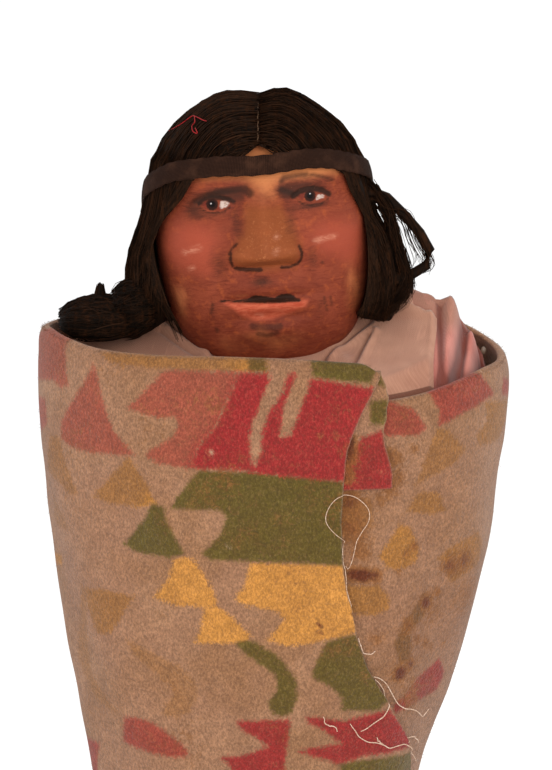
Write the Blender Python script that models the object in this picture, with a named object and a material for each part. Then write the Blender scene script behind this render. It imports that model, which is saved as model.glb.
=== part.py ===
"""A blanket-wrapped souvenir doll: moulded head, mohair wig with a headband, stuffed body in pink cotton,
a neckerchief, a wool blanket wrapped round body and arms, felt trouser legs and moccasins.

Metres, +Z up, the doll faces -Y. The origin is on the floor under the middle of its box."""

import math

import bmesh
import bpy
from mathutils import Matrix, Vector

# Driving sizes
DOLL_HEIGHT = 0.3065
BLANKET_PLY = 0.0028
BLANKET_LAP_STEP = 0.0024
BLANKET_RIPPLE = 0.0005
BLANKET_HEM_HEIGHT = 0.072
KERCHIEF_PLY = 0.0016
HEADBAND_WIDTH = 0.0060
HEADBAND_PLY = 0.0007
CURL_RADIUS = 0.0021
LEG_SPACING = 0.030
LEG_TOP_RADIUS = 0.0122
ANKLE_RADIUS = 0.0092
LEG_SETBACK = 0.005
SOLE_LENGTH = 0.044
SOLE_WIDTH = 0.0215
MOCCASIN_HEIGHT = 0.017
BODY_BOTTOM_ABOVE_HEM = 0.008
CLEARANCE = 0.0004
KERCHIEF_LIFT = 2 * CLEARANCE
BODY_INSET = BLANKET_PLY + BLANKET_LAP_STEP + 2 * BLANKET_RIPPLE + CLEARANCE

# Free forms are given in shares of the doll's height that are one millimetre each at the real size
UNIT = DOLL_HEIGHT / 306.5

# Wrapped outline: height, middle, half width and half depth
OUTLINE = (
    (72, -5.0, 41.5, 31.0),
    (105, -5.0, 49.2, 35.5),
    (119, -4.0, 52.4, 37.0),
    (131, -2.7, 55.6, 38.5),
    (149, -1.5, 60.0, 40.5),
    (163, -0.7, 62.9, 42.0),
    (178, -0.3, 65.3, 43.2),
    (193, -0.5, 66.8, 44.0),
    (205, -0.1, 68.4, 44.0),
    (221, 0.2, 69.3, 42.8),
    (229, -0.4, 68.7, 41.2),
    (237, -3.0, 65.0, 38.0),
    (246, -3.5, 56.0, 33.5),
)
OUTLINE_POWER = 2.3

# Height of the blanket's rim, by degrees travelled leftwards from the lap's free edge
RIM = (
    (0, 230.6), (24, 232.4), (48, 232.8), (64, 233.8), (78, 236.0), (94, 237.8), (114, 237.6), (135, 238.5),
    (154, 240.0), (204, 243.5), (254, 237.5), (274, 232.0), (294, 228.6), (314, 227.0), (329, 224.5),
    (344, 221.2), (360, 219.0),
)

# Direction of the lap's free edge, in degrees right of the front, by height
LAP_EDGE = (
    (72, 92), (100, 73), (115, 58), (119, 53), (126, 43.5), (132, 36), (142, 27), (151, 22), (159, 19.3),
    (165, 17), (173, 15.2), (188, 14.6), (205, 15), (211, 16.2), (217, 18.5), (224, 21.6), (230, 24.4),
)

# Line of the body's top from side to side, and how far it falls to the chest and to the back
SHOULDER_LINE = (
    (-66, 229), (-60, 235.5), (-50, 240), (-36, 243.5), (0, 245), (30, 246), (42, 247.4), (48, 247),
    (53, 244.8), (57, 241.5), (60, 236), (66, 227),
)
CHEST_FALL = 25.0
BACK_FALL = 5.0
KERCHIEF_RIGHT_EDGE = 47.5

LAP_EDGE_AT_REST = 16

# Head: middle, reaches along each axis, and lean
HEAD_MIDDLE = (-3.5, 2.0, 266.0)
HEAD_HALF_WIDTH = 31.5
HEAD_FRONT = 27.0
HEAD_BACK = 31.0
HEAD_UP = 35.0
HEAD_DOWN = 43.0
HEAD_POWER = 2.45
HEAD_LEAN_DEG = 4.6
HEAD_TURN_DEG = 1.5

# Wig: the dome's middle height and reaches, and the curtain below it as height, left, right, front, back
WIG_MIDDLE_X = -4.6
WIG_MIDDLE_Y = 3.0
WIG_DOME_HEIGHT = 272.0
WIG_DOME_POWER = 2.25
WIG_CURTAIN = (
    (232, 36.0, 38.0, 25.0, 32.0),
    (246, 38.8, 42.0, 27.0, 33.0),
    (255, 38.4, 41.5, 29.0, 33.5),
    (263, 36.4, 39.0, 30.5, 33.5),
    (272, 33.4, 33.4, 31.0, 33.5),
)

# What the wig leaves bare, as seen from the front: distances right of and above the head's middle
FACE_OPENING = (
    (-1.2, 27.0), (-5.5, 22.5), (-12.0, 20.3), (-18.6, 18.0), (-19.6, 15.6), (-22.8, 10.0), (-27.5, 4.5),
    (-31.4, 0.9), (-31.6, -5.0), (-29.6, -13.8), (-26.7, -22.0), (-22.5, -29.0), (-24.0, -50.0),
    (34.0, -50.0), (33.0, -28.5), (27.0, -27.5), (29.3, -22.0), (30.5, -15.4), (30.8, -6.6), (29.9, 3.5),
    (25.2, 12.5), (22.6, 20.5), (8.2, 23.5), (3.5, 24.0),
)
FACE_OPENING_DEPTH = -9.0

HEADBAND_FRONT_HEIGHT = 286.8
HEADBAND_BACKWARD_SLOPE = 0.26
HEADBAND_SIDEWAYS_SLOPE = 0.12


def smooth(t):
    """0 below 0, 1 above 1, and an even curve between."""
    t = min(1.0, max(0.0, t))
    return t * t * (3 - 2 * t)


def hill(x, z, at_x, at_z, wide, tall):
    """A rounded bump of height 1 at (at_x, at_z)."""
    return math.exp(-(((x - at_x) / wide) ** 2) - ((z - at_z) / tall) ** 2)


def through(stations, at, column=1):
    """The value at a position, on a smooth curve through (position, value, ...) stations."""
    if at <= stations[0][0]:
        return stations[0][column]
    if at >= stations[-1][0]:
        return stations[-1][column]
    i = max(k for k in range(len(stations) - 1) if stations[k][0] <= at)
    low, high = stations[i], stations[i + 1]
    before, after = stations[max(i - 1, 0)], stations[min(i + 2, len(stations) - 1)]
    span = high[0] - low[0]
    t = (at - low[0]) / span
    leaving = (high[column] - before[column]) / (high[0] - before[0]) * span
    arriving = (after[column] - low[column]) / (after[0] - low[0]) * span
    return (
        (2 * t**3 - 3 * t**2 + 1) * low[column]
        + (t**3 - 2 * t**2 + t) * leaving
        + (3 * t**2 - 2 * t**3) * high[column]
        + (t**3 - t**2) * arriving
    )


def signed_power(value, power):
    return math.copysign(abs(value) ** power, value)


def round_section(angle, half_width, front, back, power):
    """A point of a squarish oval. Angle 0 is the front, and a quarter turn is the doll's right as seen."""
    across = half_width * signed_power(math.sin(angle), 2 / power)
    depth = front if math.cos(angle) > 0 else back
    return across, -depth * signed_power(math.cos(angle), 2 / power)


def outline_point(angle, height, inset):
    """A point of the wrapped outline, moved inwards by inset. All values in units."""
    half_width = through(OUTLINE, height, 2) - inset
    half_depth = through(OUTLINE, height, 3) - inset
    x, y = round_section(angle, half_width, half_depth, half_depth, OUTLINE_POWER)
    return x + through(OUTLINE, height, 1), y


def shoulder_height(x, y):
    """Height of the body's top, with the shirt gathered up at the end of the right shoulder."""
    forward = min(1.0, max(0.0, 12.0 - y) / 45.0)
    chest = CHEST_FALL * (1 - (1 - forward) ** 1.5) * smooth(forward / 0.3)
    back = BACK_FALL * (max(0.0, y - 8.0) / 30.0) ** 2
    gathers = 0.7 * hill(x, y, 52.0, 0.0, 7.0, 16.0) * math.cos((x - 53.0) * 0.9 + y * 0.1)
    return through(SHOULDER_LINE, x) - chest - back + gathers


def kerchief_thickness(x, y):
    """One ply with a pleat at each side of the chin."""
    return KERCHIEF_PLY / UNIT + 1.4 * hill(abs(x + 1.0) + 0.55 * y, 0.0, 12.0, 0.0, 3.2, 1e6)


def face_relief(x, z):
    """How far the face stands forward of the plain head at a place right of and above its middle."""
    side = abs(x)
    relief = 0.9 * hill(side, z, 12.0, 15.5, 9.0, 2.6)
    relief -= 2.0 * hill(side, z, 13.8, 10.5, 7.5, 4.0)
    relief += 1.7 * hill(side, z, 14.3, 10.7, 4.6, 2.7)
    relief += 2.3 * hill(side, z, 20.6, -2.5, 8.5, 8.0)
    bridge = smooth((14.0 - z) / 18.0)
    end = smooth((z + 9.4) / 3.0)
    ridge = 1.4 * smooth((21.0 - z) / 8.0) + 6.4 * bridge
    relief += ridge * end * math.exp(-((x / (3.0 + 3.4 * bridge)) ** 2))
    relief += 3.6 * hill(side, z, 8.0, -5.2, 3.1, 3.2)
    relief -= 0.9 * hill(side, z, 14.0, -11.0, 2.4, 7.0)
    relief += 1.8 * hill(x, z, 0.0, -14.5, 11.0, 3.2)
    relief -= 1.3 * hill(x, z, 0.0, -18.2, 11.5, 0.9)
    relief += 2.2 * hill(x, z, 0.0, -20.6, 9.5, 2.2)
    relief -= 0.8 * hill(x, z, 0.0, -24.2, 8.0, 1.5)
    relief += 1.9 * hill(x, z, 0.0, -28.5, 9.0, 3.4)
    return relief


def head_point(turn, rise, swell):
    """A point of the head from its middle, turn round from the front, rise above level, in units."""
    level = math.cos(rise)
    direction = Vector((math.sin(turn) * level, -math.cos(turn) * level, math.sin(rise)))
    depth = HEAD_FRONT if direction.y < 0 else HEAD_BACK
    reach = HEAD_UP if direction.z > 0 else HEAD_DOWN
    shares = (direction.x / HEAD_HALF_WIDTH, direction.y / depth, direction.z / reach)
    distance = sum(abs(s) ** HEAD_POWER for s in shares) ** (-1 / HEAD_POWER)
    point = direction * distance
    facing = smooth(-point.y / 12.0)
    point.y -= face_relief(point.x, point.z) * facing
    return point + direction * swell


def wig_reaches(height):
    """Left, right, front and back reach of the wig at a height."""
    if height <= WIG_DOME_HEIGHT:
        return [through(WIG_CURTAIN, height, column) for column in (1, 2, 3, 4)]
    share = (height - WIG_DOME_HEIGHT) / (DOLL_HEIGHT / UNIT - WIG_DOME_HEIGHT)
    narrowing = max(0.0, 1 - share**WIG_DOME_POWER) ** (1 / WIG_DOME_POWER)
    return [reach * narrowing for reach in WIG_CURTAIN[-1][1:]]


def wig_point(angle, height, swell):
    """A point of the wig's outside at a height, in units, with swell added all round."""
    left, right, front, back = wig_reaches(height)
    side = right if math.sin(angle) > 0 else left
    x, y = round_section(angle, side + swell, front + swell, back + swell, 2.2)
    return x + WIG_MIDDLE_X, y + WIG_MIDDLE_Y


def material(name, colour, roughness):
    made = bpy.data.materials.new(name)
    made.use_nodes = True
    shader = made.node_tree.nodes["Principled BSDF"]
    shader.inputs["Base Color"].default_value = (*colour, 1)
    shader.inputs["Roughness"].default_value = roughness
    made.diffuse_color = (*colour, 1)
    return made


def solid_of_rings(name, rings, finish, endless=False):
    """A closed solid skinned over rings of points in units. Its ends are capped, or it is a ring itself."""
    mesh = bmesh.new()
    rows = [[mesh.verts.new(Vector(point) * UNIT) for point in ring] for ring in rings]
    count = len(rows[0])
    pairs = list(zip(rows, rows[1:] + rows[:1])) if endless else list(zip(rows, rows[1:]))
    for row, following in pairs:
        for i in range(count):
            j = (i + 1) % count
            mesh.faces.new((row[i], row[j], following[j], following[i]))
    if not endless:
        mesh.faces.new(rows[0])
        mesh.faces.new(rows[-1])
    bmesh.ops.recalc_face_normals(mesh, faces=mesh.faces)
    data = bpy.data.meshes.new(name)
    mesh.to_mesh(data)
    mesh.free()
    data.shade_smooth()
    data.set_sharp_from_angle(angle=math.radians(50))
    made = bpy.data.objects.new(name, data)
    bpy.context.scene.collection.objects.link(made)
    if finish:
        data.materials.append(finish)
    else:
        made.hide_render = True
        made.display_type = "WIRE"
    return made


def combine(target, operation, tool):
    step = target.modifiers.new(f"{operation.lower()}_{tool.name}", "BOOLEAN")
    step.operation = operation
    step.object = tool


def full_turn(count):
    return [2 * math.pi * i / count for i in range(count)]


def head_solid(name, finish, swell=0.0, columns=38, rows=33):
    """The head on its lean, with its pole up. Columns crowd towards the face."""
    turns = [turn - 0.42 * math.sin(turn) for turn in full_turn(columns)]
    rises = [math.pi * (i / rows - 0.5) for i in range(1, rows)]
    rings = [[head_point(turn, rise, swell) for turn in turns] for rise in rises]
    made = solid_of_rings(name, rings, finish)
    made.location = Vector(HEAD_MIDDLE) * UNIT
    made.rotation_euler = (0, -math.radians(HEAD_LEAN_DEG), math.radians(HEAD_TURN_DEG))
    return made


def over_shoulders(name, cover):
    """A block whose top lies above the body's top by cover(x, y), to cut what rests on it."""
    cells = 24
    half_width, half_depth = 76.0, 52.0
    mesh = bmesh.new()
    bmesh.ops.create_grid(mesh, x_segments=cells, y_segments=cells, size=1)
    for vert in mesh.verts:
        x, y = vert.co.x * half_width, vert.co.y * half_depth
        vert.co = Vector((x, y, shoulder_height(x, y) + cover(x, y))) * UNIT
    raised = bmesh.ops.extrude_face_region(mesh, geom=mesh.faces[:])
    for vert in (v for v in raised["geom"] if isinstance(v, bmesh.types.BMVert)):
        vert.co.z = 190.0 * UNIT
    bmesh.ops.recalc_face_normals(mesh, faces=mesh.faces)
    data = bpy.data.meshes.new(name)
    mesh.to_mesh(data)
    mesh.free()
    made = bpy.data.objects.new(name, data)
    bpy.context.scene.collection.objects.link(made)
    made.hide_render = True
    made.display_type = "WIRE"
    return made


def make_body(finish):
    """The stuffed torso: it fills the wrap up to its shoulders, where the pink cotton shows."""
    inset = BODY_INSET / UNIT
    bottom = (BLANKET_HEM_HEIGHT + BODY_BOTTOM_ABOVE_HEM) / UNIT
    columns = full_turn(40)

    def wall(angle, share):
        top = 236.0
        for _ in range(3):
            top = shoulder_height(*outline_point(angle, top, inset)) - 1.0
        height = bottom + (top - bottom) * share
        x, y = outline_point(angle, height, inset)
        return x, y, height

    rings = [[wall(angle, row / 7) for angle in columns] for row in range(8)]
    for share in (0.985, 0.92, 0.80, 0.60, 0.36, 0.10):
        ring = []
        for angle in columns:
            x, y, _ = wall(angle, 1.0)
            x, y = x * share, y * share
            ring.append((x, y, shoulder_height(x, y) - 0.8 * smooth((share - 0.9) / 0.1)))
        rings.append(ring)
    return solid_of_rings("stuffed_body", rings, finish)


def make_kerchief(finish):
    """The cotton square worn round the neck, lying over the shoulders and under the blanket's rim."""
    inset = BODY_INSET / UNIT
    gap = KERCHIEF_LIFT / UNIT
    columns = full_turn(44)
    shares = (0.34, 0.54, 0.72, 0.85, 0.94, 0.985)

    def place(angle, share):
        x, y = outline_point(angle, 236.0, inset)
        for _ in range(3):
            x, y = outline_point(angle, shoulder_height(x, y) + gap + kerchief_thickness(x, y), inset)
        share *= min(1.0, KERCHIEF_RIGHT_EDGE / max(x, 1.0))
        return x * share, y * share

    def ring(share, on_top):
        points = []
        for angle in columns:
            x, y = place(angle, share)
            height = shoulder_height(x, y) + gap
            if on_top:
                thickness = kerchief_thickness(x, y)
                height += thickness * (0.6 + 0.4 * smooth((0.99 - share) / 0.06))
            points.append((x, y, height))
        return points

    rings = [ring(share, True) for share in shares] + [ring(share, False) for share in reversed(shares)]
    return solid_of_rings("kerchief", rings, finish, endless=True)


def make_blanket(finish):
    """The wool blanket, folded double and wrapped once round with its left side lapping over its right."""
    ply = BLANKET_PLY / UNIT
    step = BLANKET_LAP_STEP / UNIT
    hem = BLANKET_HEM_HEIGHT / UNIT
    columns = 48
    travelled = [i / (columns - 1) for i in range(columns)]

    def outside_inset(share):
        return step * smooth((share - 0.74) / 0.18)

    def inside_inset(share):
        return ply + step * (1 - smooth((share - 0.18) / 0.16)) + outside_inset(share)

    def point(share, height, inset):
        straight = LAP_EDGE_AT_REST + smooth((0.34 - share) / 0.34) * (
            through(LAP_EDGE, height) - LAP_EDGE_AT_REST
        )
        straight += smooth((share - 0.74) / 0.26) * (through(LAP_EDGE, height) - LAP_EDGE_AT_REST)
        angle = math.radians(straight) - 2 * math.pi * share
        fold = BLANKET_RIPPLE / UNIT * math.sin(9 * angle + height / 17.0) * smooth((226.0 - height) / 50.0)
        x, y = outline_point(angle, height, inset - fold)
        return x, y, height

    def row(down, inset_of, lift=0.0):
        made = []
        for share in travelled:
            top = through(RIM, 360 * share) - 1.4 + lift
            made.append(point(share, top + (hem - top) * down, inset_of(share)))
        return made

    def between(share):
        return (outside_inset(share) + inside_inset(share)) / 2

    downs = (0.0, 0.05, 0.13, 0.24, 0.36, 0.48, 0.60, 0.70, 0.80, 0.90, 1.0)
    outer = [row(down, outside_inset) for down in reversed(downs)]
    inner = [row(down, inside_inset) for down in (0.0, 0.1, 0.25, 0.4, 0.55, 0.7, 0.85, 1.0)]
    return solid_of_rings("blanket", [*outer, row(0.0, between, 1.4), *inner], finish, endless=True)


def make_tube(name, path, radii):
    """A tapering lock of hair along a path, as a tool that joins the wig."""
    sides = 8
    rings = []
    for i, centre in enumerate(path):
        along = Vector(path[min(i + 1, len(path) - 1)]) - Vector(path[max(i - 1, 0)])
        turn = along.to_track_quat("Z", "X")
        circle = [Vector((math.cos(a), math.sin(a), 0)) * radii[i] for a in full_turn(sides)]
        rings.append([Vector(centre) + turn @ spoke for spoke in circle])
    return solid_of_rings(name, rings, None)


def make_mass(name, middle, reach):
    """A rounded heap of hair, as a tool that joins the wig."""
    rings = []
    for i in range(1, 9):
        rise = math.pi * (i / 9 - 0.5)
        circle = [(math.cos(a) * math.cos(rise), math.sin(a) * math.cos(rise)) for a in full_turn(14)]
        height = middle[2] + reach[2] * math.sin(rise)
        rings.append([(middle[0] + reach[0] * u, middle[1] + reach[1] * v, height) for u, v in circle])
    return solid_of_rings(name, rings, None)


def make_hair(finish):
    """The mohair wig: a parted cap over the head with side and back hair down to the shoulders."""
    top = DOLL_HEIGHT / UNIT
    heights = [232, 239, 246, 253, 260, 267, 274, 281, 287, 292.5, 297.5, 301.5, 304.6]
    columns = full_turn(38)

    def place(angle, height):
        x, y = wig_point(angle, min(height, top - 0.4), 0.0)
        parting = 0.9 * math.exp(-(((x + 4.6) / 2.2) ** 2)) * smooth((height - 286.0) / 10.0)
        return x, y, height - parting

    rings = [[place(angle, height) for angle in columns] for height in heights]
    rings.append([wig_point(angle, top - 0.25, 0.0) + (top,) for angle in columns])
    hair = solid_of_rings("hair", rings, finish)
    curl = CURL_RADIUS / UNIT
    curl_path = (
        (27, -4, 276), (33, -4, 275), (38, -5, 270), (42.5, -5, 264.8), (45.4, -5, 259.5), (44.6, -5, 255.5),
        (40, -5, 252.6), (32, -5, 250.5),
    )
    tools = [
        make_mass("left_heap", (-50.0, -2.0, 239.0), (13.5, 17.0, 6.5)),
        make_mass("left_drape", (-40.0, -4.0, 242.0), (9.0, 13.0, 9.0)),
        make_tube("left_tuft", ((-50.6, -2.3, 240.3), (-50.9, -2.2, 246), (-50.4, -2.1, 250)), (3.2, 2.2, 0.8)),
        make_tube("right_curl", curl_path, (curl * 1.6, *[curl] * 6, curl * 1.3)),
    ]
    for tool in tools:
        combine(hair, "UNION", tool)
    combine(hair, "DIFFERENCE", make_face_opening())
    combine(hair, "DIFFERENCE", head_solid("head_clearance", None, CLEARANCE / UNIT + 0.25, 28, 22))
    lift = (KERCHIEF_LIFT + 2 * CLEARANCE) / UNIT
    combine(hair, "DIFFERENCE", over_shoulders(
        "kerchief_clearance", lambda x, y: lift + kerchief_thickness(x, y)))
    return hair


def make_face_opening():
    front = -90.0
    middle_x, _, middle_z = HEAD_MIDDLE
    rings = []
    for depth in (front, FACE_OPENING_DEPTH):
        rings.append([(middle_x + x, depth, middle_z + z) for x, z in FACE_OPENING])
    return solid_of_rings("face_opening", rings, None)


def make_headband(finish):
    """The ribbon round the wig, high on the forehead and lower at the nape."""
    gap = 1.6 * CLEARANCE / UNIT
    half = HEADBAND_WIDTH / UNIT / 2
    ply = HEADBAND_PLY / UNIT

    def point(angle, above, swell):
        x, y = wig_point(angle, HEADBAND_FRONT_HEIGHT, swell)
        for _ in range(4):
            front = WIG_MIDDLE_Y - WIG_CURTAIN[-1][3]
            lowering = HEADBAND_BACKWARD_SLOPE * (y - front) - HEADBAND_SIDEWAYS_SLOPE * x
            height = HEADBAND_FRONT_HEIGHT - lowering + above
            x, y = wig_point(angle, height, swell)
        return x, y, height

    corners = ((-half, gap), (-half, gap + ply), (half, gap + ply), (half, gap))
    columns = full_turn(48)
    rings = [[point(angle, above, swell) for angle in columns] for above, swell in corners]
    return solid_of_rings("headband", rings, finish, endless=True)


def make_leg(name, side, finish):
    """A felt trouser leg round its wooden peg, from the moccasin to the body."""
    top = BLANKET_HEM_HEIGHT + BODY_BOTTOM_ABOVE_HEM - CLEARANCE
    bottom = MOCCASIN_HEIGHT + CLEARANCE
    middle = leg_middle(side)
    rings = []
    for share, bulge in ((0.0, 0.0), (0.08, 0.03), (0.35, 0.04), (0.7, 0.02), (1.0, 0.0)):
        radius = (ANKLE_RADIUS + (LEG_TOP_RADIUS - ANKLE_RADIUS) * share) * (1 + bulge) / UNIT
        height = (bottom + (top - bottom) * share) / UNIT
        rings.append([
            (middle + radius * math.sin(a), LEG_SETBACK / UNIT - radius * math.cos(a), height)
            for a in full_turn(20)
        ])
    return solid_of_rings(name, rings, finish)


def leg_middle(side):
    return through(OUTLINE, BLANKET_HEM_HEIGHT / UNIT, 1) + side * LEG_SPACING / 2 / UNIT


def make_moccasin(name, side, finish):
    """A soft shoe over a carved foot, flat below, with a rounded toe to the front."""
    length, width, height = SOLE_LENGTH / UNIT, SOLE_WIDTH / UNIT, MOCCASIN_HEIGHT / UNIT
    heel = LEG_SETBACK / UNIT + 1.25 * ANKLE_RADIUS / UNIT
    middle = leg_middle(side)
    layers = (
        (0.00, 1.00, 1.00), (0.06, 1.06, 1.10), (0.30, 1.07, 1.12), (0.55, 0.97, 1.08),
        (0.78, 0.70, 0.98), (1.00, 0.52, 0.92),
    )
    rings = []
    for rise, long, wide in layers:
        ring = []
        for angle in full_turn(22):
            across, along = round_section(angle, width * wide / 2, 1.0, 1.0, 2.4)
            share = (1 - along) / 2
            toe_width = 0.86 + 0.22 * smooth(share * 1.4)
            y = heel + length * (long - 1) * 0.35 - length * long * share
            ring.append((middle + across * toe_width, y, height * rise))
        rings.append(ring)
    return solid_of_rings(name, rings, finish)


def build():
    for old in list(bpy.data.objects):
        bpy.data.objects.remove(old)

    pink_cotton = material("pink_cotton", (0.60, 0.31, 0.26), 0.9)
    faded_cotton = material("faded_cotton", (0.47, 0.27, 0.21), 0.9)
    wool = material("blanket_wool", (0.47, 0.30, 0.20), 0.95)
    painted = material("painted_composition", (0.34, 0.11, 0.05), 0.45)
    mohair = material("mohair", (0.022, 0.014, 0.010), 0.6)
    ribbon = material("ribbon", (0.045, 0.028, 0.022), 0.85)
    felt = material("brown_felt", (0.13, 0.055, 0.035), 0.95)
    suede = material("tan_suede", (0.26, 0.13, 0.065), 0.85)

    make_body(pink_cotton)
    head = head_solid("head", painted)
    combine(head, "DIFFERENCE", over_shoulders("body_clearance", lambda x, y: 2 * CLEARANCE / UNIT))
    kerchief = make_kerchief(faded_cotton)
    combine(kerchief, "DIFFERENCE", head_solid("neck_clearance", None, CLEARANCE / UNIT + 0.25, 28, 22))
    make_blanket(wool)
    make_hair(mohair)
    make_headband(ribbon)
    for side, word in ((-1, "left"), (1, "right")):
        make_leg(f"trouser_leg_{word}", side, felt)
        make_moccasin(f"moccasin_{word}", side, suede)


build()
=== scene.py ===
"""The looks of a souvenir doll wrapped in a folded wool blanket. Lengths in the tables are in millimetres."""

import math

import bmesh
import bpy
import numpy as np
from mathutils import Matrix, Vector, noise


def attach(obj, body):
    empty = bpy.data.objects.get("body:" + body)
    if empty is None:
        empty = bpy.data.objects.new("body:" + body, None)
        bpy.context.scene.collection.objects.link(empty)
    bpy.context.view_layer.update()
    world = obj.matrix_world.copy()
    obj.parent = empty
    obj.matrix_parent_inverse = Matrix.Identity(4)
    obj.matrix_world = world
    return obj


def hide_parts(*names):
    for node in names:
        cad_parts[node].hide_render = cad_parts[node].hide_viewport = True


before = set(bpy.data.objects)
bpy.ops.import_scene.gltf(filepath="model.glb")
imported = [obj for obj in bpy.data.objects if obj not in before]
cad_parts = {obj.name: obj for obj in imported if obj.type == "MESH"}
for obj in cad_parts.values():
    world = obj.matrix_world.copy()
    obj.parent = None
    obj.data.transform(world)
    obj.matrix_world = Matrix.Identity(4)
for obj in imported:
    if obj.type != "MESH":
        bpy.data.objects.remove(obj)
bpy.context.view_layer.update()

noise.seed_set(4)  # noise_vector takes its offsets from the clock otherwise
MM = 0.001
GAP = 0.8  # between cloth and what it lies on

# Shapes shared with the solids. OUTLINE holds height, middle, half width and half depth, RIM holds turn in degrees
# and height, LAP_EDGE height and turn, SHOULDER_LINE place and height, WIG_CURTAIN height and reach to four sides
PLY, LAP_STEP, RIPPLE, HEM = 2.8, 2.4, 0.5, 72.0
BODY_INSET = PLY + LAP_STEP + 2 * RIPPLE + 0.4
OUTLINE_POWER, OUTLINE_RADIUS = 2.3, 62.0
WRAP_LENGTH = 340.0
OUTLINE = (
    (72, -5.0, 41.5, 31.0), (105, -5.0, 49.2, 35.5), (119, -4.0, 52.4, 37.0), (131, -2.7, 55.6, 38.5),
    (149, -1.5, 60.0, 40.5), (163, -0.7, 62.9, 42.0), (178, -0.3, 65.3, 43.2), (193, -0.5, 66.8, 44.0),
    (205, -0.1, 68.4, 44.0), (221, 0.2, 69.3, 42.8), (229, -0.4, 68.7, 41.2), (237, -3.0, 65.0, 38.0),
    (246, -3.5, 56.0, 33.5),
)
RIM = (
    (0, 230.6), (24, 232.4), (48, 232.8), (64, 233.8), (78, 236.0), (94, 237.8), (114, 237.6), (135, 238.5),
    (154, 240.0), (204, 243.5), (254, 237.5), (274, 232.0), (294, 228.6), (314, 227.0), (329, 224.5),
    (344, 221.2), (360, 219.0),
)
LAP_EDGE_AT_REST = 16
LAP_EDGE = (
    (72, 92), (100, 73), (115, 58), (119, 53), (126, 43.5), (132, 36), (142, 27), (151, 22), (159, 19.3),
    (165, 17), (173, 15.2), (188, 14.6), (205, 15), (211, 16.2), (217, 18.5), (224, 21.6), (230, 24.4),
)
SHOULDER_LINE = (
    (-66, 229), (-60, 235.5), (-50, 240), (-36, 243.5), (0, 245), (30, 246), (42, 247.4), (48, 247),
    (53, 244.8), (57, 241.5), (60, 236), (66, 227),
)
KERCHIEF_RIGHT_EDGE = 47.5
HEAD_MIDDLE = (-3.5, 2.0, 266.0)
HEAD_HALF_WIDTH, HEAD_FRONT, HEAD_BACK, HEAD_UP, HEAD_DOWN, HEAD_POWER = 31.5, 27.0, 31.0, 35.0, 43.0, 2.45
HEAD_LEAN, HEAD_TURN = math.radians(4.6), math.radians(1.5)
WIG_X, WIG_Y, WIG_DOME, WIG_TOP, WIG_POWER = -4.6, 3.0, 272.0, 306.5, 2.25
WIG_ROUND, WIG_FRONT = 2.2, 31.0
BAND_HEIGHT, BAND_TILT_BACK, BAND_TILT_SIDE = 286.8, 0.26, 0.12
WIG_CURTAIN = (
    (232, 36.0, 38.0, 25.0, 32.0), (246, 38.8, 42.0, 27.0, 33.0), (255, 38.4, 41.5, 29.0, 33.5),
    (263, 36.4, 39.0, 30.5, 33.5), (272, 33.4, 33.4, 31.0, 33.5),
)
WIG_DIPS = (
    (-40, 1.4), (-29, 1.5), (-22.7, 1.0), (-16.3, 0.3), (-10, 1.1), (-4.6, 1.9), (-2.4, 1.2), (1, 0.1), (6.1, 0.0),
    (12.5, 1.2), (18.9, 1.6), (25, 2.1), (40, 2.0),
)
# The wig's edges beside the face, from the head's middle: places, then their heights
FACE_LEFT = (
    (-24.0, -22.5, -26.7, -29.6, -31.6, -31.4, -27.5, -22.8, -19.6, -18.6, -12.0, -5.5, -1.2),
    (-50.0, -29.0, -22.0, -13.8, -5.0, 0.9, 4.5, 10.0, 15.6, 18.0, 20.3, 21.8, 25.6),
)
FACE_RIGHT = (
    (34.0, 33.0, 27.0, 29.3, 30.5, 30.8, 29.9, 25.2, 22.6, 8.2, 3.5, -1.2),
    (-50.0, -28.5, -27.5, -22.0, -15.4, -6.6, 3.5, 12.5, 20.5, 22.0, 23.0, 25.6),
)

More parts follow.
